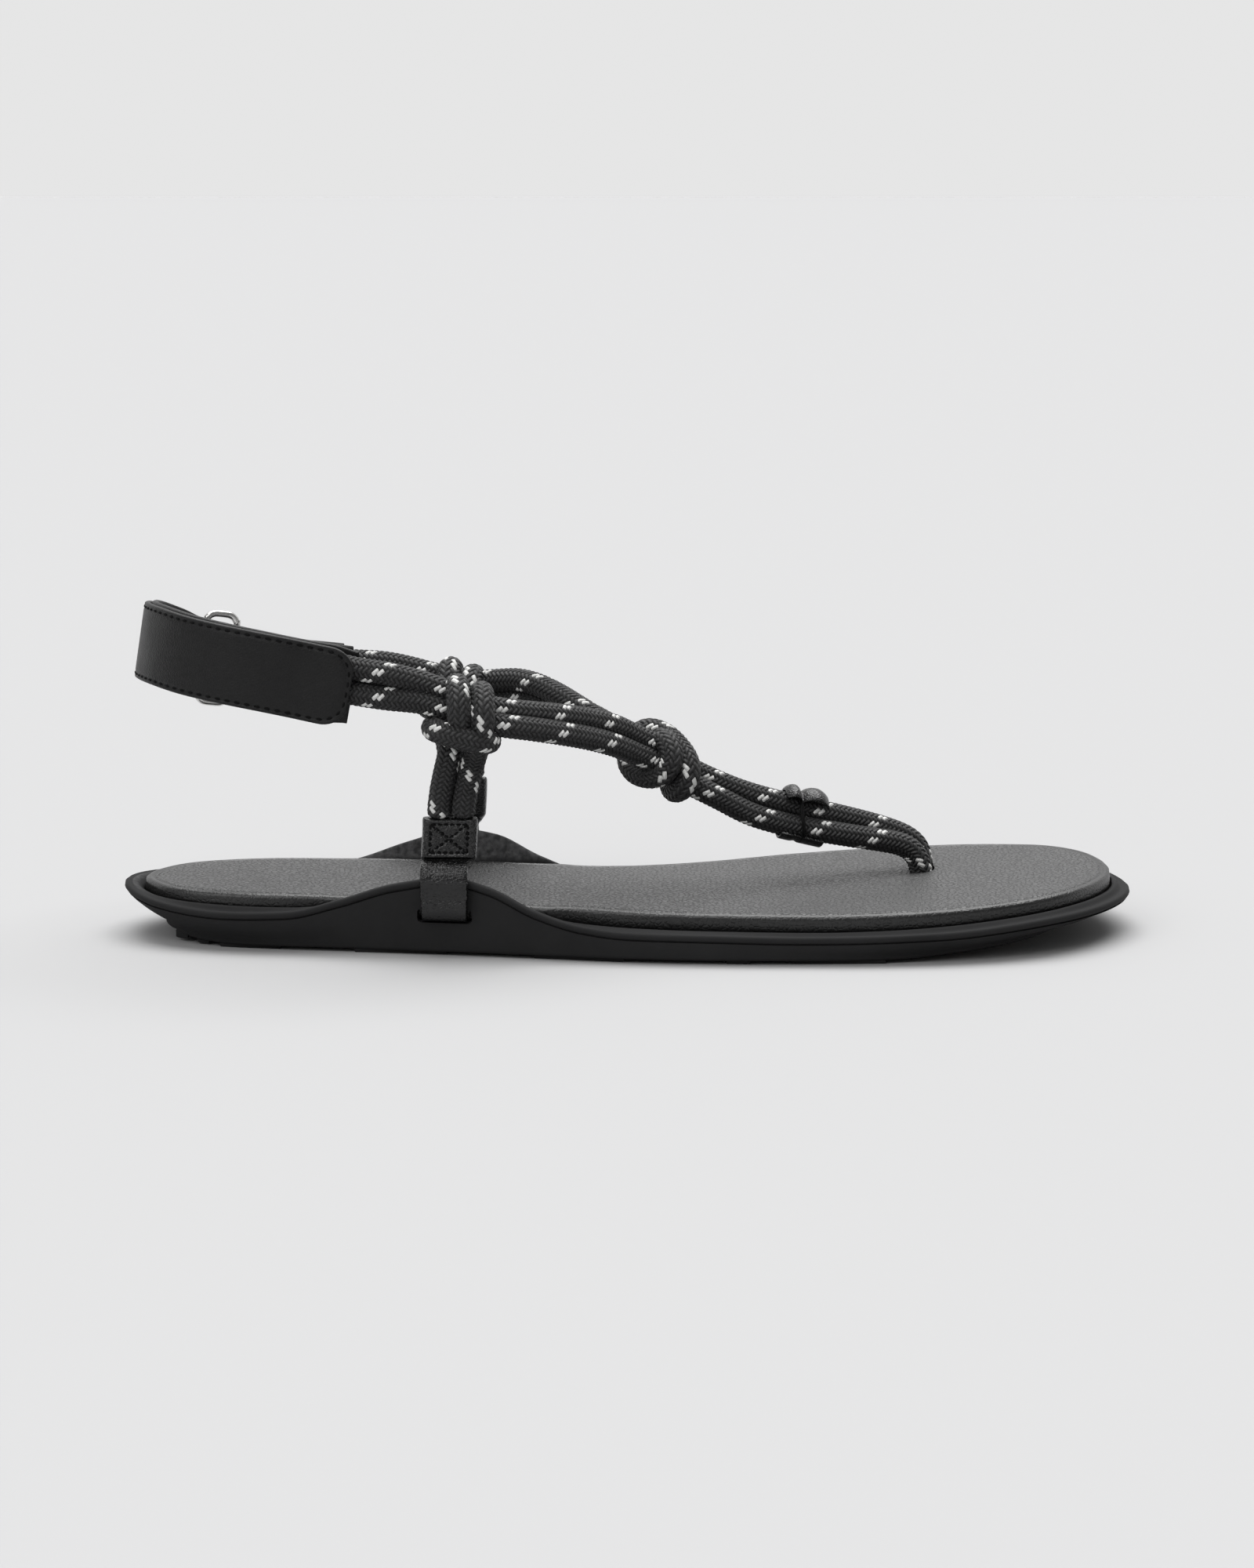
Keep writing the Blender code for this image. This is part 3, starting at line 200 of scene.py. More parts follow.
# The studio is a dome, dim on the camera's side and pale behind, with a wide soft light overhead and two
# smaller ones, one above the camera and one at its left.
# Columns: way to the light, its half width and its soft edge in degrees, and how much brighter it is.
SOFT_LIGHTS = (
    ((0.05, 0.3, 1.0), 22, 16, 4.2),
    ((-0.15, -0.8, 1.0), 8, 8, 3.0),
    ((-0.75, -0.75, 0.62), 12, 12, 2.0),
    ((0.0, 1.0, 0.05), 62, 26, 0.55),
)
dome = world.node_tree
background = dome.nodes["Background"]
background.inputs["Color"].default_value = (1, 1, 1, 1)
direction = dome.nodes.new("ShaderNodeTexCoord").outputs["Generated"]
glow = DOME_GREY
for way, half_width, soft_edge, strength in SOFT_LIGHTS:
    toward = np.array(way) / np.linalg.norm(way)
    facing = dome.nodes.new("ShaderNodeVectorMath")
    facing.operation = "DOT_PRODUCT"
    dome.links.new(direction, facing.inputs[0])
    facing.inputs[1].default_value = toward
    patch = dome.nodes.new("ShaderNodeMapRange")
    patch.interpolation_type = "SMOOTHSTEP"
    dome.links.new(facing.outputs["Value"], patch.inputs["Value"])
    patch.inputs["From Min"].default_value = math.cos(math.radians(half_width + soft_edge))
    patch.inputs["From Max"].default_value = math.cos(math.radians(half_width))
    patch.inputs["To Max"].default_value = strength
    total = dome.nodes.new("ShaderNodeMath")
    total.operation = "ADD"
    dome.links.new(patch.outputs["Result"], total.inputs[0])
    if isinstance(glow, float):
        total.inputs[1].default_value = glow
    else:
        dome.links.new(glow, total.inputs[1])
    glow = total.outputs["Value"]
dome.links.new(glow, background.inputs["Strength"])

# Rope upper: one long black braided cord of about 6 mm, twelve yarns each way, with a white tracer of two
# yarns. Two strands run down each side, hitched at the side tabs, and join in the front knot and the toe
# post. Each turn of a knot lies on the one before it.
ROPE_RADIUS = 3.0 * MM
YARNS = 12
BRAID_LEAD = 15.3 * MM
BRAID_RELIEF = 0.38 * MM
ROPE_SIDES = 60
ROPE_RING_STEP = 0.27 * MM
ROPE_EASE = 1.3 * MM
TRACER_YARNS = 2
CURVE_STEPS = 16


def select_only(*pieces):
    """Select these objects alone and make the first one active."""
    bpy.ops.object.select_all(action="DESELECT")
    for piece in pieces:
        piece.select_set(True)
    bpy.context.view_layer.objects.active = pieces[0]


def unit(rows):
    rows = np.asarray(rows, float)
    return rows / np.linalg.norm(rows, axis=-1, keepdims=True)


def eased_share(share):
    """0 up to 0, 1 from 1 on, and a soft rise between them."""
    share = np.clip(share, 0, 1)
    return share * share * (3 - 2 * share)


def lengths_along(points):
    """How far along a line of points each of them is."""
    return np.concatenate([[0], np.cumsum(np.linalg.norm(np.diff(points, axis=0), axis=1))])


def shaped_grid(name, points, uv_scale=(1.0, 1.0), uv_shift=(0.0, 0.0), merge=1e-6):
    """A primitive grid bent so that its rows and columns lie on the given points, with its UVs kept."""
    rows, columns = points.shape[0] - 1, points.shape[1] - 1
    bpy.ops.mesh.primitive_grid_add(x_subdivisions=columns, y_subdivisions=rows, size=2, location=(0, 0, 0))
    piece = bpy.context.object
    piece.name = piece.data.name = name
    mesh = piece.data
    flat = np.empty(len(mesh.vertices) * 3)
    mesh.vertices.foreach_get("co", flat)
    flat = flat.reshape(-1, 3)
    across = np.rint((flat[:, 0] + 1) / 2 * columns).astype(int)
    along = np.rint((flat[:, 1] + 1) / 2 * rows).astype(int)
    mesh.vertices.foreach_set("co", points[along, across].ravel())
    layer = mesh.uv_layers[0]
    layer.name = "UVMap"
    uv = np.empty(len(mesh.loops) * 2)
    layer.data.foreach_get("uv", uv)
    uv = uv.reshape(-1, 2) * uv_scale + uv_shift
    layer.data.foreach_set("uv", uv.ravel())
    bpy.ops.object.mode_set(mode="EDIT")
    bpy.ops.mesh.select_all(action="SELECT")
    bpy.ops.mesh.remove_doubles(threshold=merge)
    bpy.ops.mesh.normals_make_consistent(inside=False)
    bpy.ops.object.mode_set(mode="OBJECT")
    bpy.ops.object.shade_smooth()
    return piece


def joined(name, pieces):
    """Several meshes made one object."""
    select_only(*pieces)
    bpy.ops.object.join()
    piece = bpy.context.object
    piece.name = piece.data.name = name
    return piece


def evenly(points, step, closed=False):
    """Points at an even spacing along a line of points."""
    if closed:
        points = np.vstack([points, points[:1]])
    lengths = lengths_along(points)
    wanted = np.linspace(0, lengths[-1], max(3, round(lengths[-1] / step)) + 1)
    return np.column_stack([np.interp(wanted, lengths, points[:, axis]) for axis in range(3)])


def smooth_route(route, step, closed=False, ease=ROPE_EASE):
    """A smooth line through a route in millimetres, as a rope that resists a sharp bend takes it."""
    corners = np.array(route, float) * MM
    count = len(corners)
    fine = []
    for i in range(count if closed else count - 1):
        near = i + np.arange(-1, 3)
        a, b, c, d = corners[near % count if closed else near.clip(0, count - 1)]
        for t in np.arange(CURVE_STEPS) / CURVE_STEPS:
            fine.append(0.5 * (
                2 * b + (c - a) * t + (2 * a - 5 * b + 4 * c - d) * t**2 + (3 * b - a - 3 * c + d) * t**3
            ))
    if not closed:
        fine.append(corners[-1])
    line = evenly(np.array(fine), step, closed)
    reach = max(1, round(3 * ease / step))
    weights = np.exp(-0.5 * (np.arange(-reach, reach + 1) * step / ease) ** 2)
    weights /= weights.sum()
    if closed:
        loop = line[:-1]
        padded = np.vstack([loop[-reach:], loop, loop[:reach]])
    else:
        before = 2 * line[0] - line[reach:0:-1]
        after = 2 * line[-1] - line[-2 : -reach - 2 : -1]
        padded = np.vstack([before, line, after])
    eased = np.column_stack([np.convolve(padded[:, axis], weights, mode="valid") for axis in range(3)])
    return np.vstack([eased, eased[:1]]) if closed else eased


def line_frames(line, closed=False):
    """Two ways square to a line at each of its points, carried along it without twisting."""
    if closed:
        runs = np.roll(line[:-1], -1, axis=0) - np.roll(line[:-1], 1, axis=0)
        runs = np.vstack([runs, runs[:1]])
    else:
        runs = np.gradient(line, axis=0)
    runs = unit(runs)
    normal = np.array((0.0, 0.0, 1.0)) if abs(runs[0][2]) < 0.9 else np.array((0.0, -1.0, 0.0))
    firsts = []
    for run in runs:
        normal = normal - run * normal.dot(run)
        normal /= np.linalg.norm(normal)
        firsts.append(normal)
    firsts = np.array(firsts)
    seconds = np.cross(runs, firsts)
    if closed:
        slip = math.atan2(firsts[-1].dot(seconds[0]), firsts[-1].dot(firsts[0]))
        turn = -slip * np.linspace(0, 1, len(line))[:, None]
        firsts, seconds = (
            firsts * np.cos(turn) + seconds * np.sin(turn),
            seconds * np.cos(turn) - firsts * np.sin(turn),
        )
    return firsts, seconds


def tube_points(line, radius, angle, closed):
    """Rings of points round a line, one at each of its points."""
    firsts, seconds = line_frames(line, closed)
    return line[:, None, :] + radius * (
        firsts[:, None, :] * np.cos(angle)[None, :, None] + seconds[:, None, :] * np.sin(angle)[None, :, None]
    )


def braid_height(turn, travel):
    """How high the yarns stand, from 0 in a crease to 1 on a crown, at a turn round and a travel along."""
    rising, falling = YARNS * (turn + travel), YARNS * (turn - travel)
    i, j = np.floor(rising), np.floor(falling)
    cell = (i + j) % 4
    over = cell < 2
    across = np.where(over, rising - i, falling - j)
    along = np.where(over, (falling - j + cell) / 2, (rising - i + cell - 2) / 2)
    across, along = 2 * across - 1, 2 * along - 1
    return np.sqrt(np.maximum(1 - 0.8 * across**2, 0)) * (1 - 0.55 * np.abs(along) ** 3)


def braided_rope(name, route, phase=0.0, closed=False):
    """A stretch of cord along a route: its surface has the braid's yarns, and its ends are rounded off."""
    line = smooth_route(route, ROPE_RING_STEP, closed)
    length = lengths_along(line)[-1]
    leads = length / BRAID_LEAD
    if closed:
        leads = max(1, round(leads))
    turn = np.linspace(0, 1, ROPE_SIDES + 1)
    travel = np.linspace(0, leads, len(line)) + phase
    height = braid_height(turn[None, :], travel[:, None])
    radius = ROPE_RADIUS - BRAID_RELIEF * (1 - height)
    if not closed:
        from_end = np.minimum(np.arange(len(line)), np.arange(len(line))[::-1]) * length / (len(line) - 1)
        cap = np.sqrt(np.clip(1 - (1 - from_end / (0.5 * ROPE_RADIUS)).clip(0, 1) ** 2, 0, 1))
        radius = radius * cap[:, None]
    points = tube_points(line, radius[:, :, None], 2 * math.pi * turn, closed)
    return shaped_grid(name, points, (1.0, leads), (0.0, phase))


def rope_paint():
    """Black braid with the tracer's white flecks, read from the rope's own turns and leads. Its creases are
    painted near black as painted shade, and its yarns' crowns carry painted highlights.
    """
    paint = Paint("braided_cord", roughness=0.55, sheen_weight=0.05, sheen_roughness=0.4)
    turn, travel = paint.uv()
    rising, falling = (turn + travel) * YARNS, (turn - travel) * YARNS
    i, j = rising.floor(), falling.floor()
    cell = (i + j) % 4
    over = cell < 1.5
    across = over * (rising - i) + (1 - over) * (falling - j)
    along = (over * (falling - j + cell) + (1 - over) * (rising - i + cell - 2)) / 2
    rim = abs(across * 2 - 1) ** 2 * 0.9 + abs(along * 2 - 1) ** 4 * 0.5
    crown = 1 - rim.low(1)
    strand = paint.join(across * 7, along * 2.2 + cell * 3.1, i * 2.3 + j * 5.7)
    fibre = paint.noise(strand, 1.4, 3.0)
    white = over * ((i % YARNS) < TRACER_YARNS - 0.5) * rim.step(1.25, 0.85)
    # Painted highlight: lighter specks along the fibres on the yarns' crowns.
    crown_highlight = paint.ramp(fibre, (0.42, (0.0035, 0.0035, 0.004)), (0.7, (0.045, 0.044, 0.045)))
    # Painted shade: the creases between the yarns are near black, and the crowns take the painted highlight.
    black = paint.mix(crown.step(0.2, 0.9), (0.001, 0.001, 0.001, 1), crown_highlight)
    pale = paint.ramp(fibre, (0.25, (0.50, 0.50, 0.49)), (0.7, (0.86, 0.86, 0.84)))
    paint.set(base_color=paint.mix(white, black, pale))
    paint.bump((crown, 0.0003), (fibre, 0.0001))
    return paint


ROPE_PAINT = rope_paint()

# Routes in millimetres, as the solids have them.
SIDE_STRANDS = {
    "lateral_ropes": (
        (
            (-73.0, -31.9, 71.6), (-65.1, -31.0, 69.5), (-58.0, -30.8, 68.4), (-50.0, -30.5, 66.3),
            (-45.0, -30.2, 64.4), (-41.0, -30.2, 62.6), (-36.0, -29.6, 60.6), (-30.0, -27.8, 59.2),
            (-24.0, -25.0, 58.1), (-17.5, -20.8, 56.9), (-10.0, -15.0, 55.0), (-3.5, -9.6, 52.6),
            (1.5, -5.5, 49.6), (7.0, -2.0, 46.4),
        ),
        (
            (-73.0, -31.9, 65.4), (-65.8, -31.4, 63.8), (-58.0, -31.4, 62.6), (-50.0, -31.6, 61.8),
            (-45.0, -31.8, 60.2), (-41.0, -31.8, 58.4), (-36.0, -31.6, 57.0), (-30.0, -31.0, 55.9),
            (-24.0, -28.6, 54.8), (-17.5, -24.4, 53.2), (-10.0, -18.6, 51.0), (-3.5, -13.0, 48.4),
            (1.5, -8.4, 45.6), (7.0, -4.2, 42.6),
        ),
    ),
    "medial_ropes": (
        (
            (-77.0, 25.3, 64.6), (-64.0, 25.4, 64.0), (-57.0, 25.6, 62.8), (-50.0, 25.8, 60.9),
            (-44.0, 26.0, 59.6), (-39.0, 25.8, 58.9), (-33.5, 24.6, 59.4), (-28.0, 22.0, 59.9),
            (-22.5, 17.8, 59.0), (-17.0, 13.2, 56.9), (-11.0, 8.8, 53.8), (-4.0, 5.0, 50.4), (4.0, 2.0, 46.4),
        ),
        (
            (-77.0, 25.3, 59.0), (-64.0, 25.6, 58.0), (-57.0, 26.0, 57.2), (-50.0, 26.6, 56.0),
            (-44.0, 27.0, 55.2), (-39.0, 27.0, 54.6), (-33.5, 26.4, 54.7), (-28.0, 24.4, 55.0),
            (-22.5, 20.6, 54.4), (-17.0, 16.2, 52.6), (-11.0, 11.6, 49.8), (-4.0, 7.4, 46.6),
            (4.0, 3.8, 43.0),
        ),
    ),
}
LATERAL_HITCH = (
    (-45.8, -33.0, 33.4), (-45.6, -32.5, 38.0), (-44.6, -31.4, 43.5), (-43.4, -30.3, 48.6),
    (-42.6, -28.2, 53.2), (-42.0, -25.6, 57.6), (-41.8, -26.2, 62.2), (-41.5, -29.4, 65.6),
    (-41.0, -33.4, 65.2), (-40.7, -36.4, 62.2), (-40.6, -36.5, 58.2), (-40.2, -34.2, 54.4),
    (-39.2, -31.0, 53.0), (-38.0, -27.6, 54.4), (-37.0, -25.6, 58.0), (-36.3, -26.4, 61.8),
    (-35.6, -29.6, 63.9), (-35.2, -33.4, 63.2), (-35.0, -36.2, 60.2), (-35.2, -36.0, 56.0),
    (-36.2, -33.4, 51.8), (-37.4, -31.4, 47.8), (-38.9, -31.6, 42.0), (-39.9, -32.6, 37.2),
    (-40.1, -33.0, 33.4),
)
BAND_CENTRE = (-40.4, -31.9, 53.9)
BAND_HALF_LENGTH = 6.9
BAND_HALF_DEPTH = 5.5
BAND_SLOPE = -0.24
BAND_CORNERS = 14
MIRROR_LINE = -2.6
KNOT_DROP = 3.2
KNOT_BACK = 4.4
KNOT_FOOT = 34
KNOT_RISE = 20
FRONT_KNOT = (
    (7.0, 0.0, 45.5), (8.3, -2.6, 48.4), (10.2, -6.0, 47.0), (10.8, -7.6, 43.6), (8.6, -6.7, 40.2),
    (4.6, -3.6, 38.9), (1.0, 0.6, 40.0), (-0.2, 4.6, 43.3), (1.6, 6.0, 47.4), (5.0, 4.0, 49.8),
    (9.0, 1.6, 48.9), (12.3, -1.6, 46.4), (14.8, -5.0, 43.0), (15.0, -6.2, 39.2), (13.2, -4.4, 36.0),
    (11.2, 0.0, 34.9), (10.6, 4.6, 36.9), (11.6, 5.6, 40.4), (12.6, 2.4, 42.4),
)
POST_UPPER = (
    (8.0, 1.0, 44.0), (12.5, 1.6, 41.9), (18.3, 2.8, 38.4), (28.8, 5.2, 33.7), (39.6, 8.0, 30.2),
    (46.0, 9.6, 28.4), (52.0, 11.4, 26.8), (60.0, 14.1, 24.4), (66.0, 16.2, 22.3), (70.8, 17.4, 20.2),
    (74.0, 18.1, 17.4), (75.2, 18.3, 13.4), (75.3, 18.3, 8.2),
)
POST_LOWER = (
    (8.0, -2.0, 41.0), (12.5, -2.2, 38.6), (17.0, -1.4, 36.0), (22.5, 0.2, 33.0), (30.6, 2.4, 28.5),
    (39.6, 4.8, 25.4), (46.0, 6.1, 24.0), (52.0, 7.7, 22.7), (60.0, 10.2, 21.0), (66.0, 11.9, 19.8),
    (70.4, 12.8, 18.5), (73.2, 13.1, 16.2), (74.6, 13.1, 12.6), (74.8, 13.1, 8.2),
)


def mirrored(route):
    """The medial twin of a lateral knot's route: it hangs lower and farther back from the tab upwards."""
    twin = []
    for x, y, z in route:
        rise = eased_share((z - KNOT_FOOT) / KNOT_RISE)
        twin.append((x - KNOT_BACK * rise, 2 * MIRROR_LINE - y, z - KNOT_DROP * rise))
    return twin


LATERAL_BAND = [
    (
        BAND_CENTRE[0] + BAND_HALF_LENGTH * math.cos(angle),
        BAND_CENTRE[1] + BAND_HALF_DEPTH * math.sin(angle),
        BAND_CENTRE[2] + BAND_SLOPE * BAND_HALF_LENGTH * math.cos(angle),
    )
    for angle in 2 * math.pi * np.arange(BAND_CORNERS) / BAND_CORNERS
]
ROPE_PHASES = {"lateral_ropes": (0.0, 0.0), "medial_ropes": (0.3, 0.6)}
ropes = []
for name, strands in SIDE_STRANDS.items():
    pair = [braided_rope(name, route, phase) for route, phase in zip(strands, ROPE_PHASES[name])]
    ropes.append(joined(name, pair))
for name, hitch, band in (
    ("lateral_knot", LATERAL_HITCH, LATERAL_BAND),
    ("medial_knot", mirrored(LATERAL_HITCH), mirrored(LATERAL_BAND)),
):
    ropes.append(joined(name, [braided_rope(name, hitch), braided_rope(name, band, closed=True)]))
ropes.append(braided_rope("front_knot", FRONT_KNOT))
ropes.append(joined("toe_ropes", [braided_rope("toe_ropes", route) for route in (POST_UPPER, POST_LOWER)]))
for rope in ropes:
    finish_piece(rope, ROPE_PAINT, "rope", "rope_upper")

# Sole unit: black foam moulded in one piece, with a rounded lip and a fine groove under it, a wing on each
# side that is slotted for its tab, a shelf that falls to the footbed's well, and flat lugs under the tread.
SOLE_LENGTH = 252.6 * MM
BALL_WIDTH = 95.5 * MM
WING_HEIGHT = 21.8 * MM
HEEL_SEAT_HEIGHT = 13.8 * MM
LUG_DEPTH = 0.9 * MM
TREAD_EDGE_RADIUS = 0.9 * MM
LIP_HEIGHT = 1.6 * MM
LIP_PROUD = 0.7 * MM
LIP_WIDTH = 2.3 * MM
GROOVE_WIDTH = 0.55 * MM
GROOVE_DEPTH = 0.45 * MM
WING_WALL = 3.3 * MM
CHANNEL_DEPTH = 0.9 * MM
FOOTBED_THICKNESS = 4.6 * MM
FOOTBED_CANT = 0.9 * MM
CLEARANCE = 0.3 * MM
HALF_LENGTH = SOLE_LENGTH / 2
HALF_BALL = BALL_WIDTH / 2
SOLE_STATIONS = 190
EDGE_STEPS, LIP_STEPS, SHELF_STEPS, CAP_STEPS = 5, 7, 9, 4
SIDE_BLEND_WIDTH = 2.5 * MM
SMOOTH_ANGLE = math.radians(38)

# The rim from above: from the heel tip along the lateral side to the toe, and back along the medial side.
# Columns: along as a share of half the length, across as a share of half the ball width.
RIM_OUTLINE = (
    (-1.000, -0.055), (-0.970, -0.325), (-0.890, -0.530), (-0.750, -0.655), (-0.555, -0.697),
    (-0.350, -0.762), (-0.160, -0.855), (0.000, -0.940), (0.160, -0.982), (0.335, -0.998),
    (0.500, -0.994), (0.650, -0.940), (0.790, -0.808), (0.895, -0.590), (0.968, -0.300),
    (1.000, -0.020), (0.994, 0.250), (0.962, 0.534), (0.890, 0.765), (0.775, 0.922),
    (0.635, 0.998), (0.480, 0.974), (0.320, 0.870), (0.160, 0.715), (0.000, 0.600),
    (-0.160, 0.552), (-0.350, 0.565), (-0.590, 0.573), (-0.750, 0.556), (-0.890, 0.430),
    (-0.970, 0.220),
)
# Columns: along, lateral and medial height of the rim as shares of the wing height.
RIM_HEIGHTS = np.array((
    (-1.00, 0.600, 0.600), (-0.93, 0.520, 0.550), (-0.78, 0.450, 0.450), (-0.66, 0.472, 0.472),
    (-0.56, 0.610, 0.575), (-0.45, 0.805, 0.790), (-0.345, 0.890, 0.945), (-0.27, 0.790, 0.880),
    (-0.18, 0.545, 0.620), (-0.09, 0.400, 0.430), (0.00, 0.350, 0.385), (0.15, 0.340, 0.365),
    (0.32, 0.326, 0.355), (0.60, 0.362, 0.395), (0.83, 0.454, 0.475), (1.00, 0.486, 0.486),
))
TREAD_LIFT, TREAD_INSET, BED_INSET, BED_TOP, SEAT_DEPTH = 1, 2, 3, 4, 5
# Columns: along, lift of the tread, inset of the tread edge, inset of the footbed, footbed top and depth
# of its seat, as shares of the heel seat height.
LENGTHWISE = np.array((
    (-1.00, 0.380, 0.620, 0.400, 1.015, 0.150), (-0.94, 0.190, 0.450, 0.330, 1.014, 0.150),
    (-0.86, 0.040, 0.360, 0.305, 1.008, 0.150), (-0.78, 0.000, 0.290, 0.300, 1.000, 0.155),
    (-0.56, 0.000, 0.130, 0.285, 0.980, 0.170), (-0.35, 0.000, 0.020, 0.265, 0.945, 0.200),
    (-0.12, 0.000, 0.010, 0.420, 0.875, 0.225), (0.16, 0.000, 0.020, 0.370, 0.827, 0.235),
    (0.35, 0.000, 0.060, 0.310, 0.827, 0.235), (0.50, 0.000, 0.150, 0.310, 0.855, 0.225),
    (0.62, 0.060, 0.270, 0.310, 0.897, 0.205), (0.78, 0.165, 0.440, 0.320, 0.975, 0.185),
    (0.90, 0.290, 0.620, 0.310, 1.035, 0.175), (1.00, 0.520, 0.850, 0.320, 1.060, 0.170),
))


def smooth(table, at, column):
    """A table's column at places in its first column, on a curve that keeps to the rows' range."""
    x, y = table[:, 0], table[:, column]
    step, slope = np.diff(x), np.diff(table[:, column]) / np.diff(x)
    tangent = np.zeros(len(x))
    for i in range(1, len(x) - 1):
        if slope[i - 1] * slope[i] > 0:
            before, after = 2 * step[i] + step[i - 1], step[i] + 2 * step[i - 1]
            tangent[i] = (before + after) / (before / slope[i - 1] + after / slope[i])
    tangent[0], tangent[-1] = slope[0], slope[-1]
    at = np.clip(at, x[0], x[-1])
    i = np.clip(np.searchsorted(x, at, side="right") - 1, 0, len(step) - 1)
    t = (at - x[i]) / step[i]
    rise = tangent[i] * t * (1 - t) ** 2 + tangent[i + 1] * t * t * (t - 1)
    return y[i] * (1 + 2 * t) * (1 - t) ** 2 + y[i + 1] * t * t * (3 - 2 * t) + step[i] * rise


def rim_loop():
    """The rim from above with its outward ways. Both sides run through the same stations."""
    corners = [(along * HALF_LENGTH / MM, across * HALF_BALL / MM, 0) for along, across in RIM_OUTLINE]
    curve = smooth_route(corners, SOLE_LENGTH / 1600, closed=True, ease=2.5 * MM)[:-1]
    for axis, half in ((0, HALF_LENGTH), (1, HALF_BALL)):
        low, high = curve[:, axis].min(), curve[:, axis].max()
        curve[:, axis] = half * (2 * (curve[:, axis] - low) / (high - low) - 1)
    curve = np.roll(curve, -int(curve[:, 0].argmin()), axis=0)
    toe = int(curve[:, 0].argmax())
    share = np.arange(SOLE_STATIONS + 1) / SOLE_STATIONS
    eased = -0.62 * np.cos(math.pi * share) + 0.38 * (2 * share - 1)
    sides = []
    for chain in (curve[: toe + 1], np.vstack([curve[:1], curve[:toe - 1:-1]])):
        along = np.maximum.accumulate(chain[:, 0])
        want = along[0] + (along[-1] - along[0]) * (eased + 1) / 2
        near_tip = np.interp(want, along, np.arange(len(chain)))
        across = np.interp(near_tip, np.arange(len(chain)), chain[:, 1])
        sides.append(np.column_stack([want, across]))
    lateral, medial = sides
    loop = np.vstack([lateral, medial[-2:0:-1]])
    run = np.roll(loop, -1, axis=0) - np.roll(loop, 1, axis=0)
    return loop, unit(np.column_stack([run[:, 1], -run[:, 0]]))


RIM, RIM_OUTWARD = rim_loop()
ALONG = RIM[:, 0] / HALF_LENGTH
MEDIAL = RIM[:, 1] > 0
TWIN = (len(RIM) - np.arange(len(RIM))) % len(RIM)


def lengthwise(column, share=ALONG):
    return smooth(LENGTHWISE, share, column) * HEEL_SEAT_HEIGHT


# 0 on the lateral side and 1 on the medial side, passing softly round the two ends.
SIDE_BLEND = 1 / (1 + np.exp(-RIM[:, 1] / SIDE_BLEND_WIDTH))
RIM_HEIGHT = WING_HEIGHT * (
    smooth(RIM_HEIGHTS, ALONG, 1) * (1 - SIDE_BLEND) + smooth(RIM_HEIGHTS, ALONG, 2) * SIDE_BLEND
)
TREAD = LUG_DEPTH + lengthwise(TREAD_LIFT)
FOOTBED_TOP = lengthwise(BED_TOP) + FOOTBED_CANT * SIDE_BLEND * np.clip(ALONG / 0.4, 0, 1)
SEAT = FOOTBED_TOP - lengthwise(SEAT_DEPTH)
WELL_FLOOR = lengthwise(BED_TOP) - FOOTBED_THICKNESS - CLEARANCE
WING = eased_share((RIM_HEIGHT - SEAT) / (2.5 * MM))
SEAT_INSET = lengthwise(BED_INSET) * (1 - WING) + WING_WALL * WING


def ring(inset, height):
    """One ring that follows the rim, set in and raised."""
    flat = RIM - RIM_OUTWARD * np.broadcast_to(inset, len(RIM))[:, None]
    return np.column_stack([flat, np.broadcast_to(height, len(RIM))])


def capped(rings, surface, columns, at_start):
    """Rings that carry on from the last one to the line between the two sides."""
    edge = rings[0] if at_start else rings[-1]
    middle = (edge + edge[TWIN]) / 2
    added = []
    for column in range(1, columns + 1):
        share = column / columns
        row = edge + (middle - edge) * share
        row[:, 2] = surface(row, share, edge)
        added.append(row)
    return added[::-1] + rings if at_start else rings + added


def ringed_body(name, rings):
    """A closed body through rings round the sole."""
    points = np.array(rings)
    points = np.concatenate([points, points[:, :1]], axis=1)
    return shaped_grid(name, points, merge=1e-5)


tread_inset = lengthwise(TREAD_INSET) + LIP_PROUD
wall_top = RIM_HEIGHT - LIP_HEIGHT
wall_foot = TREAD + TREAD_EDGE_RADIUS
sole_rings = []
for part in range(EDGE_STEPS + 1):
    angle = math.pi / 2 * part / EDGE_STEPS
    inset = tread_inset + TREAD_EDGE_RADIUS * (1 - math.sin(angle))
    sole_rings.append(ring(inset, TREAD + TREAD_EDGE_RADIUS * (1 - math.cos(angle))))
# Columns: share of the wall's height, and share of the tread's inset that is left there.
WALL_FORM = np.array((
    (0.0, 1.0), (0.2, 0.80), (0.42, 0.50), (0.6, 0.28), (0.74, 0.16), (0.88, 0.06), (1.0, 0.02),
))
WALL_STEPS = 17
# The soft ridge round the toe: how far it stands out, its place along and up the wall, and its spread there.
TOE_RIDGE = 0.7 * MM
RIDGE_ALONG, RIDGE_UP = (0.93, 0.16), (0.56, 0.13)
toe_ridge = np.exp(-(((ALONG - RIDGE_ALONG[0]) / RIDGE_ALONG[1]) ** 2)) * TOE_RIDGE
for part in range(1, WALL_STEPS):
    share = part / WALL_STEPS
    bulge = toe_ridge * math.exp(-(((share - RIDGE_UP[0]) / RIDGE_UP[1]) ** 2))
    left = smooth(WALL_FORM, np.array([share]), 1)[0]
    inset = lengthwise(TREAD_INSET) * left + LIP_PROUD - bulge
    sole_rings.append(ring(inset, wall_foot + (wall_top - GROOVE_WIDTH - wall_foot) * share))
# The groove. Columns: share of its depth, and place below the wall's top as a share of its width.
for deep, below in ((0.0, 1.0), (0.1, 0.86), (1.0, 0.7), (1.0, 0.3)):
    sole_rings.append(ring(LIP_PROUD + deep * GROOVE_DEPTH, wall_top - below * GROOVE_WIDTH))
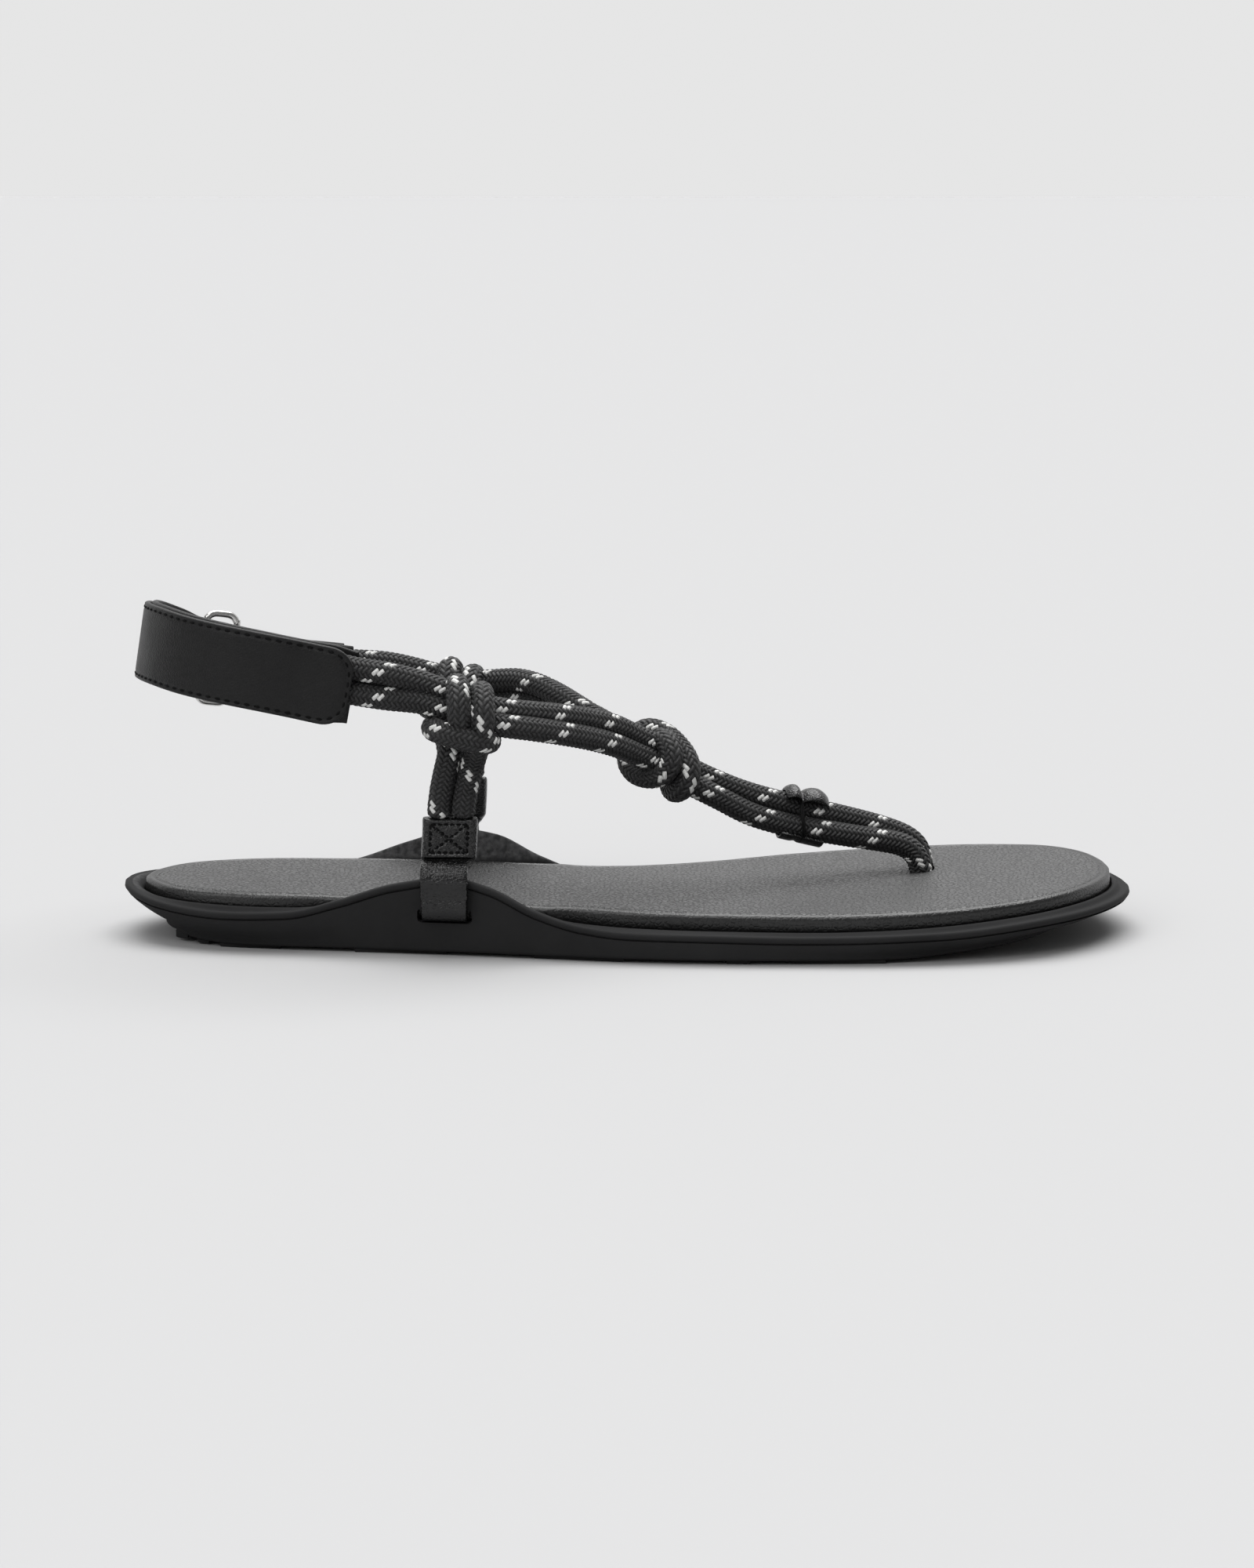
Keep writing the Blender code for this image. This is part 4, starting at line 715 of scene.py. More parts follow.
# The lip is round in section: tight below its middle and flatter above it.
lip_rise = 0.52 * LIP_HEIGHT
for part in range(LIP_STEPS + 1):
    angle = math.pi * (-0.42 + 0.92 * part / LIP_STEPS)
    inset = (LIP_PROUD if angle < 0 else 0.34 * LIP_WIDTH) * (1 - math.cos(angle))
    sole_rings.append(ring(inset, RIM_HEIGHT - lip_rise + lip_rise * math.sin(angle)))
sole_rings.append(ring(0.62 * LIP_WIDTH, RIM_HEIGHT - 0.05 * MM * (1 - WING)))
shelf_edge = RIM_HEIGHT * WING + (RIM_HEIGHT - 0.2 * MM) * (1 - WING)
shelf_start = 0.86 * LIP_WIDTH
sole_rings.append(ring(shelf_start, shelf_edge))
inner_face_start = len(sole_rings) + 3
for part in range(1, SHELF_STEPS):
    share = part / SHELF_STEPS
    inset = shelf_start + (SEAT_INSET - shelf_start) * share
    slope = shelf_edge + (SEAT - shelf_edge) * eased_share(share)
    slope = slope - (1 - WING) * CHANNEL_DEPTH * math.exp(-(((share - 1) / 0.3) ** 2))
    sole_rings.append(ring(inset, slope))
sole_rings.append(ring(SEAT_INSET, SEAT - CHANNEL_DEPTH))
sole_rings.append(ring(SEAT_INSET + 0.08 * LIP_WIDTH, SEAT - 1.4 * MM))
sole_rings.append(ring(SEAT_INSET + 0.1 * LIP_WIDTH, WELL_FLOOR))


def tread_surface(row, share, edge):
    return LUG_DEPTH + lengthwise(TREAD_LIFT, row[:, 0] / HALF_LENGTH)


def well_surface(row, share, edge):
    return lengthwise(BED_TOP, row[:, 0] / HALF_LENGTH) - FOOTBED_THICKNESS - CLEARANCE


sole_rings = capped(sole_rings, tread_surface, CAP_STEPS, at_start=True)
sole_rings = capped(sole_rings, well_surface, CAP_STEPS, at_start=False)
INNER_FACE = [row / (len(sole_rings) - 1) for row in (inner_face_start, inner_face_start + SHELF_STEPS)]
sole = ringed_body("sole_unit", sole_rings)


def rim_y(x, medial, inset):
    """Across place of a line that follows the rim on one side, set in by a distance."""
    edge = ring(inset, 0)[MEDIAL == medial]
    edge = edge[np.argsort(edge[:, 0])]
    return float(np.interp(x, edge[:, 0], edge[:, 1]))


# Tread lugs. Columns: rear end and front end as shares of half the length, and whether a channel along
# the middle splits the lug in two.
LUGS = (
    (-0.888, -0.862, False), (-0.842, -0.818, False), (-0.795, -0.675, True), (-0.530, -0.350, True),
    (-0.183, -0.008, True), (0.185, 0.232, False), (0.310, 0.490, True),
)
LUG_SPLIT = 6.0 * MM
LUG_MARGIN = 0.5 * MM
LUG_ROOT = 1.2 * MM
LUG_BEVEL = 0.35 * MM


def lug_half(low_y, high_y, places, lift, name):
    """One flat lug: a grid bent to its outline, thickened and with its edges eased."""
    across = np.linspace(0, 1, 3)
    flat = np.zeros((len(places), 3, 3))
    flat[:, :, 0] = places[:, None]
    flat[:, :, 1] = low_y[:, None] * (1 - across) + high_y[:, None] * across
    flat[:, :, 2] = lift
    lug = shaped_grid(name, flat)
    solidify = lug.modifiers.new("thickness", "SOLIDIFY")
    solidify.thickness = LUG_DEPTH + LUG_ROOT
    solidify.offset = -1 if lug.data.polygons[0].normal.z < 0 else 1
    bevel = lug.modifiers.new("eased_edges", "BEVEL")
    bevel.width = LUG_BEVEL
    bevel.segments = 2
    bevel.angle_limit = math.radians(50)
    for modifier in ("thickness", "eased_edges"):
        bpy.ops.object.modifier_apply(modifier=modifier)
    return lug


lugs = []
for number, (rear, front, split) in enumerate(LUGS):
    places = np.linspace(rear * HALF_LENGTH, front * HALF_LENGTH, 8)
    inset = float(lengthwise(TREAD_INSET, (rear + front) / 2)) + TREAD_EDGE_RADIUS + LIP_PROUD + LUG_MARGIN
    low = np.array([rim_y(x, False, inset) for x in places])
    high = np.array([rim_y(x, True, inset) for x in places])
    middle = (low + high) / 2
    lift = float(lengthwise(TREAD_LIFT, (rear + front) / 2))
    halves = [(low, middle - LUG_SPLIT / 2), (middle + LUG_SPLIT / 2, high)] if split else [(low, high)]
    for side, (near, far) in enumerate(halves):
        lugs.append(lug_half(near, far, places, lift, f"lug_{number}_{side}"))

TAB_CENTRE_X = -44.6 * MM
SLOT_HEIGHT = 3.4 * MM
SLOT_FLOOR = 8.2 * MM
SLOT_WIDTH = 13.4 * MM
SLOT_CUT_DEPTH = 8.5 * MM


def cut_hole(piece, cutter, name):
    """Cut a hole in a piece with another object, which then goes."""
    cut = piece.modifiers.new(name, "BOOLEAN")
    cut.operation = "DIFFERENCE"
    cut.solver = "EXACT"
    cut.object = cutter
    select_only(piece)
    bpy.ops.object.modifier_apply(modifier=name)
    bpy.data.objects.remove(cutter)


for medial in (False, True):
    sign = 1 if medial else -1
    middle_y = (rim_y(TAB_CENTRE_X, medial, 0) + rim_y(TAB_CENTRE_X, medial, WING_WALL)) / 2
    bpy.ops.mesh.primitive_cube_add(
        size=1,
        location=(TAB_CENTRE_X, middle_y - sign * 0.6 * MM, SLOT_FLOOR + SLOT_HEIGHT / 2),
        scale=(SLOT_WIDTH, SLOT_CUT_DEPTH, SLOT_HEIGHT),
    )
    cutter = bpy.context.object
    bpy.ops.object.transform_apply(location=True, rotation=True, scale=True)
    bevel = cutter.modifiers.new("round_ends", "BEVEL")
    bevel.width = SLOT_HEIGHT * 0.3
    bevel.segments = 4
    bpy.ops.object.modifier_apply(modifier="round_ends")
    cut_hole(sole, cutter, "slot")
sole = joined("sole_unit", [sole] + lugs)
bpy.ops.object.shade_smooth_by_angle(angle=SMOOTH_ANGLE)

sole_paint = Paint("moulded_foam", specular=0.07)
place = sole_paint.object_place()
skin = sole_paint.noise(place, 900, 2.0)
mottle = sole_paint.noise(place, 60, 3.0)
wing_grain = sole_paint.noise(place, 620, 3.0, 0.6)
row = sole_paint.uv()[1]
height = sole_paint.parts(place)[2]
# The wing's inner face has a coarser grain. Above the seat its colour is painted paler, as painted light that
# a face sloping upwards would catch. Its rows are soft-edged by a hundredth of the body's rows.
FACE_SOFT = 0.01
lit_inner_wing = row.step(INNER_FACE[0] - FACE_SOFT, INNER_FACE[0] + FACE_SOFT)
lit_inner_wing = lit_inner_wing * row.step(INNER_FACE[1] + FACE_SOFT, INNER_FACE[1] - FACE_SOFT)
lit_inner_wing = lit_inner_wing * height.step(11.5 * MM, 14.0 * MM)
sole_paint.set(
    base_color=sole_paint.mix(
        lit_inner_wing,
        sole_paint.ramp(mottle, (0.3, (0.02, 0.02, 0.0205)), (0.75, (0.026, 0.026, 0.0265))),
        # Painted light: the inner face's paler grained colour.
        sole_paint.ramp(wing_grain, (0.35, (0.05, 0.05, 0.051)), (0.65, (0.13, 0.13, 0.132))),
    ),
    roughness=sole_paint.ramp(mottle, (0.3, 0.62), (0.75, 0.74)),
)
sole_paint.bump((skin, 0.00004), (mottle, 0.0001), (wing_grain * lit_inner_wing, 0.0002))
finish_piece(sole, sole_paint, "outsole", "outsole")

# Footbed: a padded insole in a fine grained black cover, turned under a rolled edge and glued into the
# well. The toe post pulls the cover down round its hole.
FOOTBED_ROLL = 2.0 * MM
EDGE_BEAD = 1.3 * MM
HEEL_DISH = 0.7 * MM
POST_PLACE = (75.0 * MM, 15.7 * MM)
DISH_PLACE, DISH_SPREAD = -0.72, 0.2
POST_DIMPLE = 1.0 * MM
DIMPLE_SHIFT = (2.5 * MM, 2 * MM)
DIMPLE_REACH = (9.0 * MM, 8.0 * MM)
POST_HOLE_RADIUS = 3.3 * MM
POST_HOLE_STRETCH = 1.75
BEAD_STEPS = 8
BEAD_RINGS = 17
FOOTBED_STEPS = 46
side_inset = SEAT_INSET + CLEARANCE + 0.12 * LIP_WIDTH
footbed_under = WELL_FLOOR + CLEARANCE
footbed_rings = [
    ring(side_inset + 0.5 * FOOTBED_ROLL, footbed_under),
    ring(side_inset + 0.1 * FOOTBED_ROLL, footbed_under + 0.1 * FOOTBED_ROLL),
    ring(side_inset, footbed_under + 0.4 * FOOTBED_ROLL),
    ring(side_inset, 0.5 * (footbed_under + FOOTBED_TOP)),
]
for part in range(BEAD_STEPS + 1):
    angle = math.pi / 2 * part / BEAD_STEPS
    inset = side_inset + EDGE_BEAD * (1 - math.cos(angle))
    footbed_rings.append(ring(inset, FOOTBED_TOP - EDGE_BEAD * (1 - math.sin(angle))))
# The sewn-in crease beside the bead. Columns: distance from the bead and depth, in millimetres.
for across, below in ((0.35, 0.1), (0.7, 0.26), (1.05, 0.26), (1.4, 0.1), (1.9, 0.0)):
    footbed_rings.append(ring(side_inset + EDGE_BEAD + across * MM, FOOTBED_TOP - below * MM))


def footbed_surface(row, share, edge):
    """Height of the cover: level between its edges, dished at the heel and pulled down at the toe post."""
    along = row[:, 0] / HALF_LENGTH
    level = edge[:, 2] * (1 - share / 2) + edge[TWIN][:, 2] * share / 2
    middle = 1 - (1 - share) ** 2
    dish = HEEL_DISH * middle * np.exp(-(((along - DISH_PLACE) / DISH_SPREAD) ** 2))
    away = np.hypot(
        (row[:, 0] - POST_PLACE[0] + DIMPLE_SHIFT[0]) / DIMPLE_REACH[0],
        (row[:, 1] - POST_PLACE[1] + DIMPLE_SHIFT[1]) / DIMPLE_REACH[1],
    )
    return level - dish - POST_DIMPLE * np.exp(-(away**2))


footbed_rings = capped(footbed_rings, footbed_surface, FOOTBED_STEPS, at_start=False)
footbed_rings = capped(footbed_rings, lambda row, share, edge: edge[:, 2], 2, at_start=True)
BEAD_END = BEAD_RINGS / (len(footbed_rings) - 1)
footbed = ringed_body("padded_footbed", footbed_rings)
bpy.ops.mesh.primitive_cylinder_add(
    vertices=40,
    radius=POST_HOLE_RADIUS,
    depth=20 * MM,
    location=(*POST_PLACE, 12 * MM),
    scale=(1.0, POST_HOLE_STRETCH, 1.0),
)
cutter = bpy.context.object
bpy.ops.object.transform_apply(location=True, rotation=True, scale=True)
cut_hole(footbed, cutter, "post_hole")
bpy.ops.object.shade_smooth_by_angle(angle=SMOOTH_ANGLE)

footbed_paint = Paint("grained_cover", specular=0.64)
place = footbed_paint.object_place()
wrinkles = footbed_paint.noise(place, 1100, 2.0, 0.6)
pebbles = footbed_paint.grain_cells(place, 820.0).step(0.0, 0.22)
wear = footbed_paint.noise(place, 45, 3.0)
cover = footbed_paint.ramp(wear, (0.3, (0.026, 0.026, 0.0265)), (0.75, (0.036, 0.036, 0.0365)))
grain = (pebbles * 0.7 + wrinkles * 1.6 - 0.65).high(0).low(1)
on_top = footbed_paint.uv()[1].step(BEAD_END - 0.01, BEAD_END + 0.02)
# Painted shade: the side under the bead is painted near black, and on top the grain's creases lean to the
# same near black.
footbed_paint.set(
    base_color=footbed_paint.mix(on_top * (0.35 + grain * 0.65), (0.004, 0.004, 0.004, 1), cover),
    roughness=0.36 + on_top * (0.28 - grain * 0.33),
)
footbed_paint.bump(
    (pebbles * (0.3 + on_top * 0.7), 0.00014), (wrinkles * (0.2 + on_top * 0.8), 0.00016), (wear, 0.0002)
)
finish_piece(footbed, footbed_paint, "footbed", "footbed")

# Side tabs: a strip of glossy grained leather folded over the rope's ends, closed by a seam round a square
# with a cross in it, and led down outside the wing and in through its slot.
TAB_TOP_X = -43.2 * MM
TAB_TOP_HEIGHT = 33.4 * MM
TAB_TOP_WIDTH = 13.4 * MM
TAB_STRIP_WIDTH = 11.8 * MM
TAB_PATCH_THICKNESS = 4.6 * MM
TAB_STRIP_THICKNESS = 1.7 * MM
TAB_PATCH_LENGTH = 9.2 * MM
TAB_LATERAL_Y = -33.0 * MM
TAB_MEDIAL_Y = 27.4 * MM
TAB_TAIL = 7.0 * MM
TAB_STEP = 0.25 * MM
WING_ROW = 6
TAB_SEAM_PITCH = 1.5 * MM
TAB_STITCH = (1.25 * MM, 0.42 * MM, 0.16 * MM)
TAB_SEAM_BOX = (-4.6 * MM, 4.4 * MM, 1.5 * MM, TAB_PATCH_LENGTH - 0.6 * MM)
PATCH_HEM = 1.4 * MM
STRIP_WRINKLE = 0.06 * MM
SEAM_GROOVE = 0.32 * MM
SEAM_GROOVE_WIDTH = 0.45 * MM


EDGE_PARTS = 5


def leather_band(name, middle, outward, upward, half, thickness, face, round_share, relief=None, bow=None):
    """A closed leather band through stations. Its edges are eased and its ends closed. Its outer face can
    carry a relief, and the whole band can bow outwards."""
    outward, upward = unit(outward), unit(upward)
    half, thickness = (np.broadcast_to(size, len(middle)) for size in (half, thickness))
    travel = lengths_along(middle)
    corner = [math.radians(a) for a in np.linspace(-90, 90, EDGE_PARTS + 2)[1:-1]]
    # Each point of the section: share across, share of the edge radius across, share of the thickness.
    section = []
    for side in (1.0, -1.0):
        section += [(v, 0.0, side) for v in (face if side > 0 else face[::-1])]
        section += [(side, side * math.cos(a), -side * math.sin(a)) for a in corner]
    section = np.array(section + section[:1])
    ends = [0.0, 0.55, 0.85, 1.0]
    order = [0] * 3 + list(range(len(middle))) + [len(middle) - 1] * 3
    swell = np.array(ends[:3] + [1.0] * len(middle) + ends[2::-1])
    radius = thickness[order] / 2 * swell * round_share
    flat_half = half[order] - thickness[order] / 2 * round_share
    across_place = section[None, :, 0] * flat_half[:, None] + section[None, :, 1] * radius[:, None]
    out_place = section[None, :, 2] * (thickness[order] / 2 * swell)[:, None]
    along_place = np.broadcast_to(travel[order][:, None], across_place.shape)
    if relief is not None:
        lifted = relief(along_place, across_place, travel[-1])
        out_place = out_place + np.where(section[None, :, 2] > 0.99, lifted, 0) * swell[:, None]
    if bow is not None:
        out_place = out_place + bow(along_place, across_place)
    points = (
        middle[order][:, None, :]
        + upward[order][:, None, :] * across_place[:, :, None]
        + outward[order][:, None, :] * out_place[:, :, None]
    )
    return shaped_grid(name, points)


def stitches(name, lines, length, width, sink):
    """Thread stitches, each at a (place, way along, way out): one bead, copied and joined."""
    bpy.ops.mesh.primitive_uv_sphere_add(segments=8, ring_count=6, radius=0.5)
    bead = bpy.context.object
    shape = np.array([v.co for v in bead.data.vertices])
    faces = [tuple(p.vertices) for p in bead.data.polygons]
    bpy.data.objects.remove(bead)
    points, all_faces = [], []
    for place, way, out in lines:
        way = np.array(way) / np.linalg.norm(way)
        out = np.array(out) - way * np.dot(out, way)
        out /= np.linalg.norm(out)
        side = np.cross(way, out)
        start = len(points) * len(shape)
        local = shape * (width, length, width)
        bowed = local[:, 2] - sink * (2 * shape[:, 1]) ** 2
        points.append(place + local[:, :1] * side + local[:, 1:2] * way + bowed[:, None] * out)
        all_faces += [tuple(start + v for v in face) for face in faces]
    mesh = bpy.data.meshes.new(name)
    mesh.from_pydata(np.vstack(points).tolist(), [], all_faces)
    mesh.shade_smooth()
    piece = bpy.data.objects.new(name, mesh)
    bpy.context.collection.objects.link(piece)
    return piece


def along_line(a, b, pitch):
    """Middles and ways of the stitches from one corner of a seam to the next."""
    run = np.array(b) - np.array(a)
    count = max(1, round(np.linalg.norm(run) / pitch))
    return [(a + run * (k + 0.5) / count, run / np.linalg.norm(run)) for k in range(count)]


def near_line(x, y, a, b):
    """Distance of points from a straight piece of seam."""
    a, b = np.array(a), np.array(b)
    run = b - a
    share = np.clip(((x - a[0]) * run[0] + (y - a[1]) * run[1]) / run.dot(run), 0, 1)
    return np.hypot(x - a[0] - share * run[0], y - a[1] - share * run[1])


def leather_paint(name, dark, pale, roughness, grain, grain_depth, crease, specular=0.5):
    """Black leather: fine cells of grain, soft blotches and small creases."""
    paint = Paint(name, specular)
    place = paint.object_place()
    pebbles = paint.grain_cells(place, grain).step(0.0, 0.25)
    blotch = paint.noise(place, 130, 3.0)
    paint.set(
        base_color=paint.ramp(blotch, (0.3, dark), (0.75, pale)),
        roughness=paint.ramp(blotch, (0.3, roughness[0]), (0.75, roughness[1])),
    )
    paint.bump((pebbles, grain_depth), (blotch, 0.0001), (paint.noise(place, 620, 4.0, 0.65), crease))
    return paint


TAB_PAINT = leather_paint(
    "glossy_tab_leather", (0.003, 0.003, 0.0034), (0.007, 0.007, 0.007), (0.16, 0.26), 1100, 0.00006, 0.0001
)
# The thread is black, and its colour is kept darker than the leather as painted shade in the stitch holes.
THREAD_PAINT = Paint("black_thread", specular=0.15, roughness=0.8)
twist = THREAD_PAINT.noise(THREAD_PAINT.object_place(), 900, 2.0)
THREAD_PAINT.set(
    base_color=THREAD_PAINT.ramp(twist, (0.3, (0.001, 0.001, 0.001)), (0.7, (0.005, 0.005, 0.0055)))
)


def side_tab(name, medial):
    """One tab with its seam."""
    sign = 1 if medial else -1
    wall = rim_y(TAB_CENTRE_X, medial, 0) + sign * (CLEARANCE + TAB_STRIP_THICKNESS / 2)
    tail_end = rim_y(TAB_CENTRE_X, medial, WING_WALL) - sign * TAB_TAIL
    top_y = TAB_MEDIAL_Y if medial else TAB_LATERAL_Y
    rim = WING_HEIGHT * RIM_HEIGHTS[WING_ROW, 2 if medial else 1]
    bed_top = float(lengthwise(BED_TOP, TAB_CENTRE_X / HALF_LENGTH))
    tail = bed_top - FOOTBED_THICKNESS + TAB_STRIP_THICKNESS / 2
    patch_end = TAB_TOP_HEIGHT - TAB_PATCH_LENGTH - PATCH_HEM
    bend_top = min(rim, patch_end - 3.5 * MM)
    reach = TAB_STRIP_WIDTH / 2
    slope = (rim_y(TAB_CENTRE_X + reach, medial, 0) - rim_y(TAB_CENTRE_X - reach, medial, 0)) / (2 * reach)
    patch, strip = TAB_PATCH_THICKNESS, TAB_STRIP_THICKNESS
    wide, narrow = TAB_TOP_WIDTH, TAB_STRIP_WIDTH
    x = TAB_CENTRE_X
    # Columns: x, y, z, thickness, width and slope along the wall of each station down the tab.
    stations = np.array((
        (TAB_TOP_X, top_y, TAB_TOP_HEIGHT + 0.4 * MM, patch * 0.55, wide * 0.97, 0),
        (TAB_TOP_X, top_y, TAB_TOP_HEIGHT - 0.2 * MM, patch * 0.9, wide, 0),
        (TAB_TOP_X, top_y, TAB_TOP_HEIGHT - 1.6 * MM, patch, wide, 0),
        (TAB_TOP_X - 0.1 * MM, top_y * 0.95 + wall * 0.05, TAB_TOP_HEIGHT - 4.5 * MM, patch, wide, 0),
        (TAB_TOP_X - 0.4 * MM, top_y * 0.84 + wall * 0.16, patch_end + 1.2 * MM, patch * 0.92, wide, 0),
        (
            TAB_TOP_X - 0.6 * MM, top_y * 0.7 + wall * 0.3, patch_end + 0.1 * MM,
            strip * 1.4, narrow * 1.05, 0.3 * slope,
        ),
        (x, wall - sign * 1.2 * MM, bend_top + 2.6 * MM, strip * 1.3, narrow, slope),
        (x, wall + sign * 0.2 * MM, bend_top + 1.0 * MM, strip * 1.25, narrow, slope),
        (x, wall + sign * 0.5 * MM, bend_top - 0.8 * MM, strip * 1.2, narrow, slope),
        (x, wall + sign * 0.2 * MM, bend_top - 2.8 * MM, strip * 1.05, narrow, slope),
        (x, wall, bend_top - 5 * MM, strip, narrow, slope),
        (x, wall, tail + 5.2 * MM, strip, narrow * 0.97, slope),
        (x, wall, tail + 2.6 * MM, strip, narrow * 0.96, slope),
        (x, wall - sign * 0.5 * MM, tail + 1.0 * MM, strip * 0.95, narrow * 0.96, slope),
        (x, wall - sign * 1.7 * MM, tail + 0.1 * MM, strip * 0.9, narrow * 0.96, slope),
        (x, wall - sign * 3.0 * MM, tail, strip * 0.9, narrow * 0.96, slope),
        (x, tail_end, tail, strip * 0.9, narrow * 0.96, slope),
    ))
    line = evenly(smooth_route(stations[:, :3] / MM, 0.2 * MM, ease=0.5 * MM), TAB_STEP)
    knots = lengths_along(stations[:, :3])
    at = np.linspace(0, knots[-1], len(line))
    thick, width, turned = (np.interp(at, knots, stations[:, column]) for column in (3, 4, 5))
    run = np.gradient(line, axis=0)
    upward = unit(np.column_stack([np.ones(len(line)), turned, np.zeros(len(line))]))
    outward = np.cross(run, upward)
    outward = unit(outward * np.sign(outward[2][1]) * sign)
    left, right, top, low = TAB_SEAM_BOX
    box = [(top, left), (top, right), (low, right), (low, left)]
    seams = list(zip(box, box[1:] + box[:1])) + [(box[0], box[2]), (box[1], box[3])]

    def relief(along, across, length):
        sunk = np.zeros_like(along)
        for a, b in seams:
            sunk = np.maximum(sunk, np.exp(-((near_line(along, across, a, b) / SEAM_GROOVE_WIDTH) ** 2)))
        inside = (along > top) & (along < low) & (across > left) & (across < right)
        pucker = 0.26 * MM * np.sin(along / MM * 5.3 + 2 * np.sin(across / MM * 2.1))
        pucker = pucker * np.sin(across / MM * 6.1)
        under_edge = 0.5 * MM * np.exp(-(((along - low - 0.9 * MM - PATCH_HEM) / (0.5 * MM)) ** 2))
        bend = np.exp(-(((along - low - 3.6 * MM - PATCH_HEM) / (2.0 * MM)) ** 2))
        wave = 1.5 * np.sin(along / MM * 1.9 + across / MM)
        wrinkle = STRIP_WRINKLE * bend * np.sin(across / MM * 7.3 + wave)
        under_edge = under_edge * (np.abs(across) < 6 * MM)
        return -SEAM_GROOVE * sunk + np.where(inside, pucker * (1 - sunk), 0) - under_edge + wrinkle

    face = np.linspace(-1, 1, 49)
    tab = leather_band(name, line, outward, upward, width / 2, thick, face, 0.7, relief)
    travel = lengths_along(line)
    lines = []
    for a, b in seams:
        for place, way in along_line(a, b, TAB_SEAM_PITCH):
            i = int(np.argmin(np.abs(travel - place[0])))
            run_way = line[min(i + 1, len(line) - 1)] - line[max(i - 1, 0)]
            run_way /= np.linalg.norm(run_way)
            spot = line[i] + upward[i] * place[1] + outward[i] * (thick[i] / 2 - 0.12 * MM)
            lines.append((spot, run_way * way[0] + upward[i] * way[1], outward[i]))
    seam = stitches(name + "_seam", lines, *TAB_STITCH)
    finish_piece(tab, TAB_PAINT, "tab_leather", "medial_tab" if medial else "lateral_tab")
    finish_piece(seam, THREAD_PAINT, "tab_leather")


side_tab("lateral_side_tab", False)
side_tab("medial_side_tab", True)

# Rope keeper: a short strip of the same leather laid over the upper toe strand and round behind the lower
# one. Black thread draws it together, so that it stands off the strand in two arches of unequal width.
KEEPER_MIDDLE = 43.9 * MM
KEEPER_WIDTH = 11.6 * MM
KEEPER_THICKNESS = 0.9 * MM
KEEPER_SLACK = 0.15 * MM
KEEPER_ARCH = 2.2 * MM
KEEPER_PINCH = -0.26
KEEPER_START, KEEPER_END = 12, 292
KEEPER_STATIONS = 60
KEEPER_THREAD_RADIUS = 0.27 * MM
STRAND_TURN = 2.4
upper_line = smooth_route(POST_UPPER, 0.4 * MM)
lower_line = smooth_route(POST_LOWER, 0.4 * MM)


def at_x(line, x):
    return np.array([x] + [np.interp(x, line[:, 0], line[:, axis]) for axis in (1, 2)])


keeper_top, keeper_low = at_x(upper_line, KEEPER_MIDDLE), at_x(lower_line, KEEPER_MIDDLE)
keeper_run = at_x(upper_line, KEEPER_MIDDLE + 2 * MM) - at_x(upper_line, KEEPER_MIDDLE - 2 * MM)
keeper_run /= np.linalg.norm(keeper_run)
keeper_up = keeper_top - keeper_low
keeper_up -= keeper_run * keeper_run.dot(keeper_up)
strand_gap = np.linalg.norm(keeper_up) / 2
keeper_up /= np.linalg.norm(keeper_up)
keeper_side = np.cross(keeper_run, keeper_up)
keeper_angles = np.radians(np.linspace(KEEPER_START, KEEPER_END, KEEPER_STATIONS))
keeper_reach = ROPE_RADIUS + KEEPER_SLACK + KEEPER_THICKNESS / 2
keeper_lift = strand_gap * np.tanh(STRAND_TURN * np.sin(keeper_angles))
keeper_line = (
    (keeper_top + keeper_low) / 2
    + np.outer(np.cos(keeper_angles), keeper_side) * keeper_reach
    + np.outer(np.sin(keeper_angles) * keeper_reach + keeper_lift, keeper_up)
)
keeper_ways = unit(np.cross(np.gradient(keeper_line, axis=0), keeper_run))
keeper_ways *= np.sign(keeper_ways[15].dot(keeper_up))
KEEPER_LENGTH = lengths_along(keeper_line)[-1]


def keeper_bow(along, across):
    """The strip's two arches and the pinch between them, strongest at the lateral end."""
    share = np.clip(across / (KEEPER_WIDTH / 2), -1, 1)
    left = np.sin(math.pi * np.clip((share + 1) / (1 + KEEPER_PINCH), 0, 1)) ** 0.8
    right = np.sin(math.pi * np.clip((share - KEEPER_PINCH) / (1 - KEEPER_PINCH), 0, 1)) ** 0.8
    high = np.clip(1.15 - along / KEEPER_LENGTH * 2.3, 0, 1)
    pinch = np.exp(-(((share - KEEPER_PINCH) / 0.13) ** 2))
    return KEEPER_ARCH * (0.85 * left + right) * high - 0.3 * MM * pinch


keeper = leather_band(
    "keeper_wrap",
    keeper_line,
    keeper_ways,
    np.tile(keeper_run, (len(keeper_line), 1)),
    KEEPER_WIDTH / 2,
    KEEPER_THICKNESS,
    face=np.linspace(-1, 1, 49),
    round_share=0.8,
    bow=keeper_bow,
)
finish_piece(keeper, TAB_PAINT, "tab_leather", "rope_keeper")
pinch_place = keeper_run * KEEPER_PINCH * KEEPER_WIDTH / 2
thread_turns = []
for turn_number in range(2):
    loop_points = []
    for angle in np.radians(np.arange(0, 360, 24)):
        reach = ROPE_RADIUS + KEEPER_THICKNESS * (0.75 if math.sin(angle) > -0.2 else 0.9)
        lift = strand_gap * math.tanh(STRAND_TURN * math.sin(angle))
        place = (keeper_top + keeper_low) / 2 + pinch_place + keeper_run * (turn_number - 0.5) * 0.5 * MM
        place = place + keeper_run * 1.6 * MM * max(-math.sin(angle), 0)
        place = place + keeper_side * math.cos(angle) * reach + keeper_up * (math.sin(angle) * reach + lift)
        loop_points.append(tuple(place / MM))
    thread_turns.append(loop_points)


def round_loop(name, route, radius):
    """A plain round loop of thread or wire along a route."""
    line = smooth_route(route, 0.5 * MM, closed=True, ease=0.4 * MM)
    return shaped_grid(name, tube_points(line, radius, np.linspace(0, 2 * math.pi, 17), closed=True))


